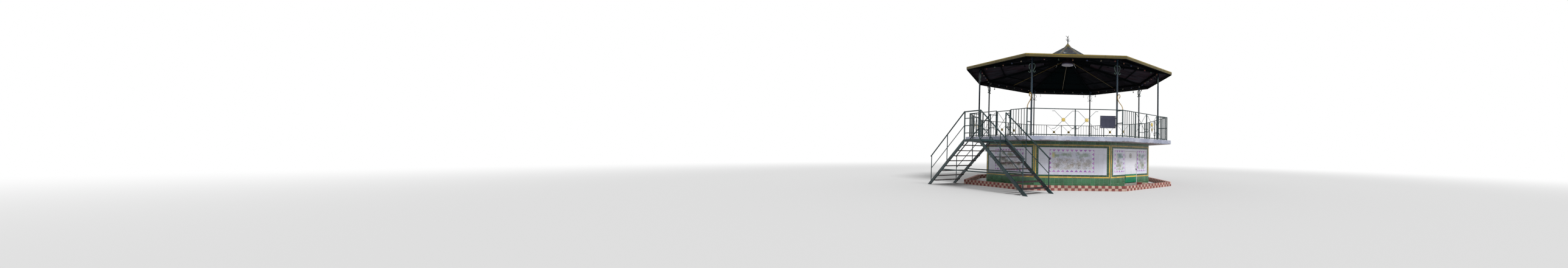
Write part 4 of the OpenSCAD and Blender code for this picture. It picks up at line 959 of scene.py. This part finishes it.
# Four bars, each wrapped over the board's own faces; a screw is turned upright, then laid to face the front
def frameBoard(look):
    low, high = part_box("notice_board")
    left, right, bottom, top = low.x, low.x + look["wide"], low.z, high.z
    middle, edge, over = -(low.y + high.y) / 2, look["edge"], look["over"]
    reach = look["halfThick"] + look["proud"]
    bars = [(left, right, bottom, bottom + edge), (left, right, top - edge, top),
            (left, left + edge, bottom + edge, top - edge), (right - edge, right, bottom + edge, top - edge)]
    lows = [(bar[0] - over, middle - reach, bar[2] - over) for bar in bars]
    highs = [(bar[1] + over, middle + reach, bar[3] + over) for bar in bars]
    addPiece("board_edge", layBlocks(0, lows, highs, look["chamfer"]), "boardGrey")
    dome, faces = turned(look["screw"], (0, 0, 0), look["screwAround"])
    heads = []
    for x in (left + look["screwIn"], right - look["screwIn"]):
        for z in (bottom + look["screwIn"], top - look["screwIn"]):
            front = -middle - look["halfThick"] - dome[..., 2]
            heads.append((np.stack([dome[..., 0] + x, front, dome[..., 1] + z], -1), faces))
    addPiece("board_screws", joined(heads), "paleSteel")


frameBoard(boardLook)

# Painted ornament on the door, in low relief: a plain wreath of leaves round a flower
ornament = {"along": -0.035, "high": 1.17, "wide": 0.098, "tall": 0.092, "relief": 0.003, "off": 0.0012,
            "back": 0.0003, "leaves": 18, "lean": 9, "wreathAt": 0.82, "wreathHalf": 0.16, "petals": 6,
            "petalFrom": 0.28, "petalLong": 0.22, "around": 72, "ground": (196, 194, 198),
            "drawn": (112, 104, 92), "darken": 1.4,
            "rings": [0.02, 0.12, 0.22, 0.34, 0.46, 0.56, 0.66, 0.76, 0.86, 0.94, 1.0]}


# Rings of points from the middle out, as shares of the radius: leaves that lean stand about wreathAt, petals
# end from petalFrom to petalLong beyond it as a cosine has it, and a last ring on the door closes the back
def placeOrnament(look):
    angle = turns(look["around"])
    share = np.array(look["rings"])[:, None]
    leaf = 0.5 + 0.5 * np.cos(look["leaves"] * angle + look["lean"] * share)
    petal = 0.5 + 0.5 * np.cos(look["petals"] * angle)
    wreath = np.clip(1 - np.abs(share - look["wreathAt"]) / look["wreathHalf"], 0, 1) * leaf
    flower = np.clip(1 - share / (look["petalFrom"] + look["petalLong"] * petal), 0, 1)
    raised = np.maximum(wreath, flower)
    depth = look["off"] + look["relief"] * raised * (share < 1)
    depth = np.concatenate([depth, np.full((1, look["around"]), look["back"])])
    share = np.concatenate([share, share[-1:]])
    points = onSide(1, look["along"] - look["wide"] * share * np.sin(angle), plan["podiumFlat"] + depth,
                    look["high"] + look["tall"] * share * np.cos(angle))
    drawn = np.clip(raised * look["darken"], 0, 1)[..., None]
    tint = asTint(tone(*look["ground"])[:3] * (1 - drawn) + tone(*look["drawn"])[:3] * drawn)
    faces = [f[::-1] for f in ringFaces(len(points), look["around"])]
    addPiece("door_ornament", (points, faces), "plainTile", body="door",
             tint=np.concatenate([tint, tint[-1:]]), smooth=True)


placeOrnament(ornament)
print("bulbs, suns, finial, bolts, board and door dressed")

# Light: an even pale surround, one broad soft lamp from the right front and a floor that fades to white
lighting = {"surround": 0.47, "sun": 2.15, "sunSpread": 0.3, "sunFrom": (0.62, -0.72, 0.85),
            "floor": (0.80, 0.80, 0.80, 1), "fadeFrom": 14.0, "fadeTo": 34.0, "reach": 200.0, "down": -0.001}


# 1 for what is seen at first hand, in a mirror or through glass, and 0 for what only lights the object
def plainlySeen(tree):
    ray = add(tree, "LightPath").socket.node.outputs
    first = calc("MAXIMUM", Value(ray["Is Camera Ray"]), Value(ray["Is Glossy Ray"]))
    return calc("MAXIMUM", first, Value(ray["Is Transmission Ray"]))


def lightScene(look):
    world = bpy.data.worlds.new("surround")
    scene.world = world
    world.use_nodes = True
    tree = world.node_tree
    ground = tree.nodes["Background"]
    ground.inputs["Color"].default_value = (1, 1, 1, 1)
    levels = {"Value": plainlySeen(tree), "To Min": look["surround"], "To Max": 1.0}
    join(add(tree, "MapRange", levels), ground, "Strength")
    lamp = bpy.data.lights.new("broadLamp", "SUN")
    lamp.energy, lamp.angle = look["sun"], look["sunSpread"]
    addObject("broadLamp", lamp).rotation_euler = Vector(look["sunFrom"]).to_track_quat("Z", "Y").to_euler()


# Matte floor that turns to plain white, where it is plainly seen, from fadeFrom to fadeTo off the middle
def layFloor(look):
    mesh = bpy.data.meshes.new("paleFloor")
    reach = look["reach"]
    corners = [(x * reach, y * reach, look["down"]) for x, y in ((-1, -1), (1, -1), (1, 1), (-1, 1))]
    mesh.from_pydata(corners, [], [(0, 1, 2, 3)])
    floor = addObject("paleFloor", mesh)
    finish = bpy.data.materials.new("paleFloor")
    finish.use_nodes = True
    tree = finish.node_tree
    tree.nodes.remove(tree.nodes["Principled BSDF"])
    place = add(tree, "TexCoord", output="Object")
    away = add(tree, "VectorMath", {0: place}, "Value", operation="LENGTH")
    share = rising(away, look["fadeFrom"], look["fadeTo"]) * plainlySeen(tree)
    matte = add(tree, "BsdfDiffuse", {"Color": look["floor"]})
    white = add(tree, "Emission", {"Color": (1, 1, 1, 1), "Strength": 1.0})
    join(add(tree, "MixShader", {0: share, 1: matte, 2: white}), tree.nodes["Material Output"], "Surface")
    mesh.materials.append(finish)


lightScene(lighting)
layFloor(lighting)
print("light and floor set")
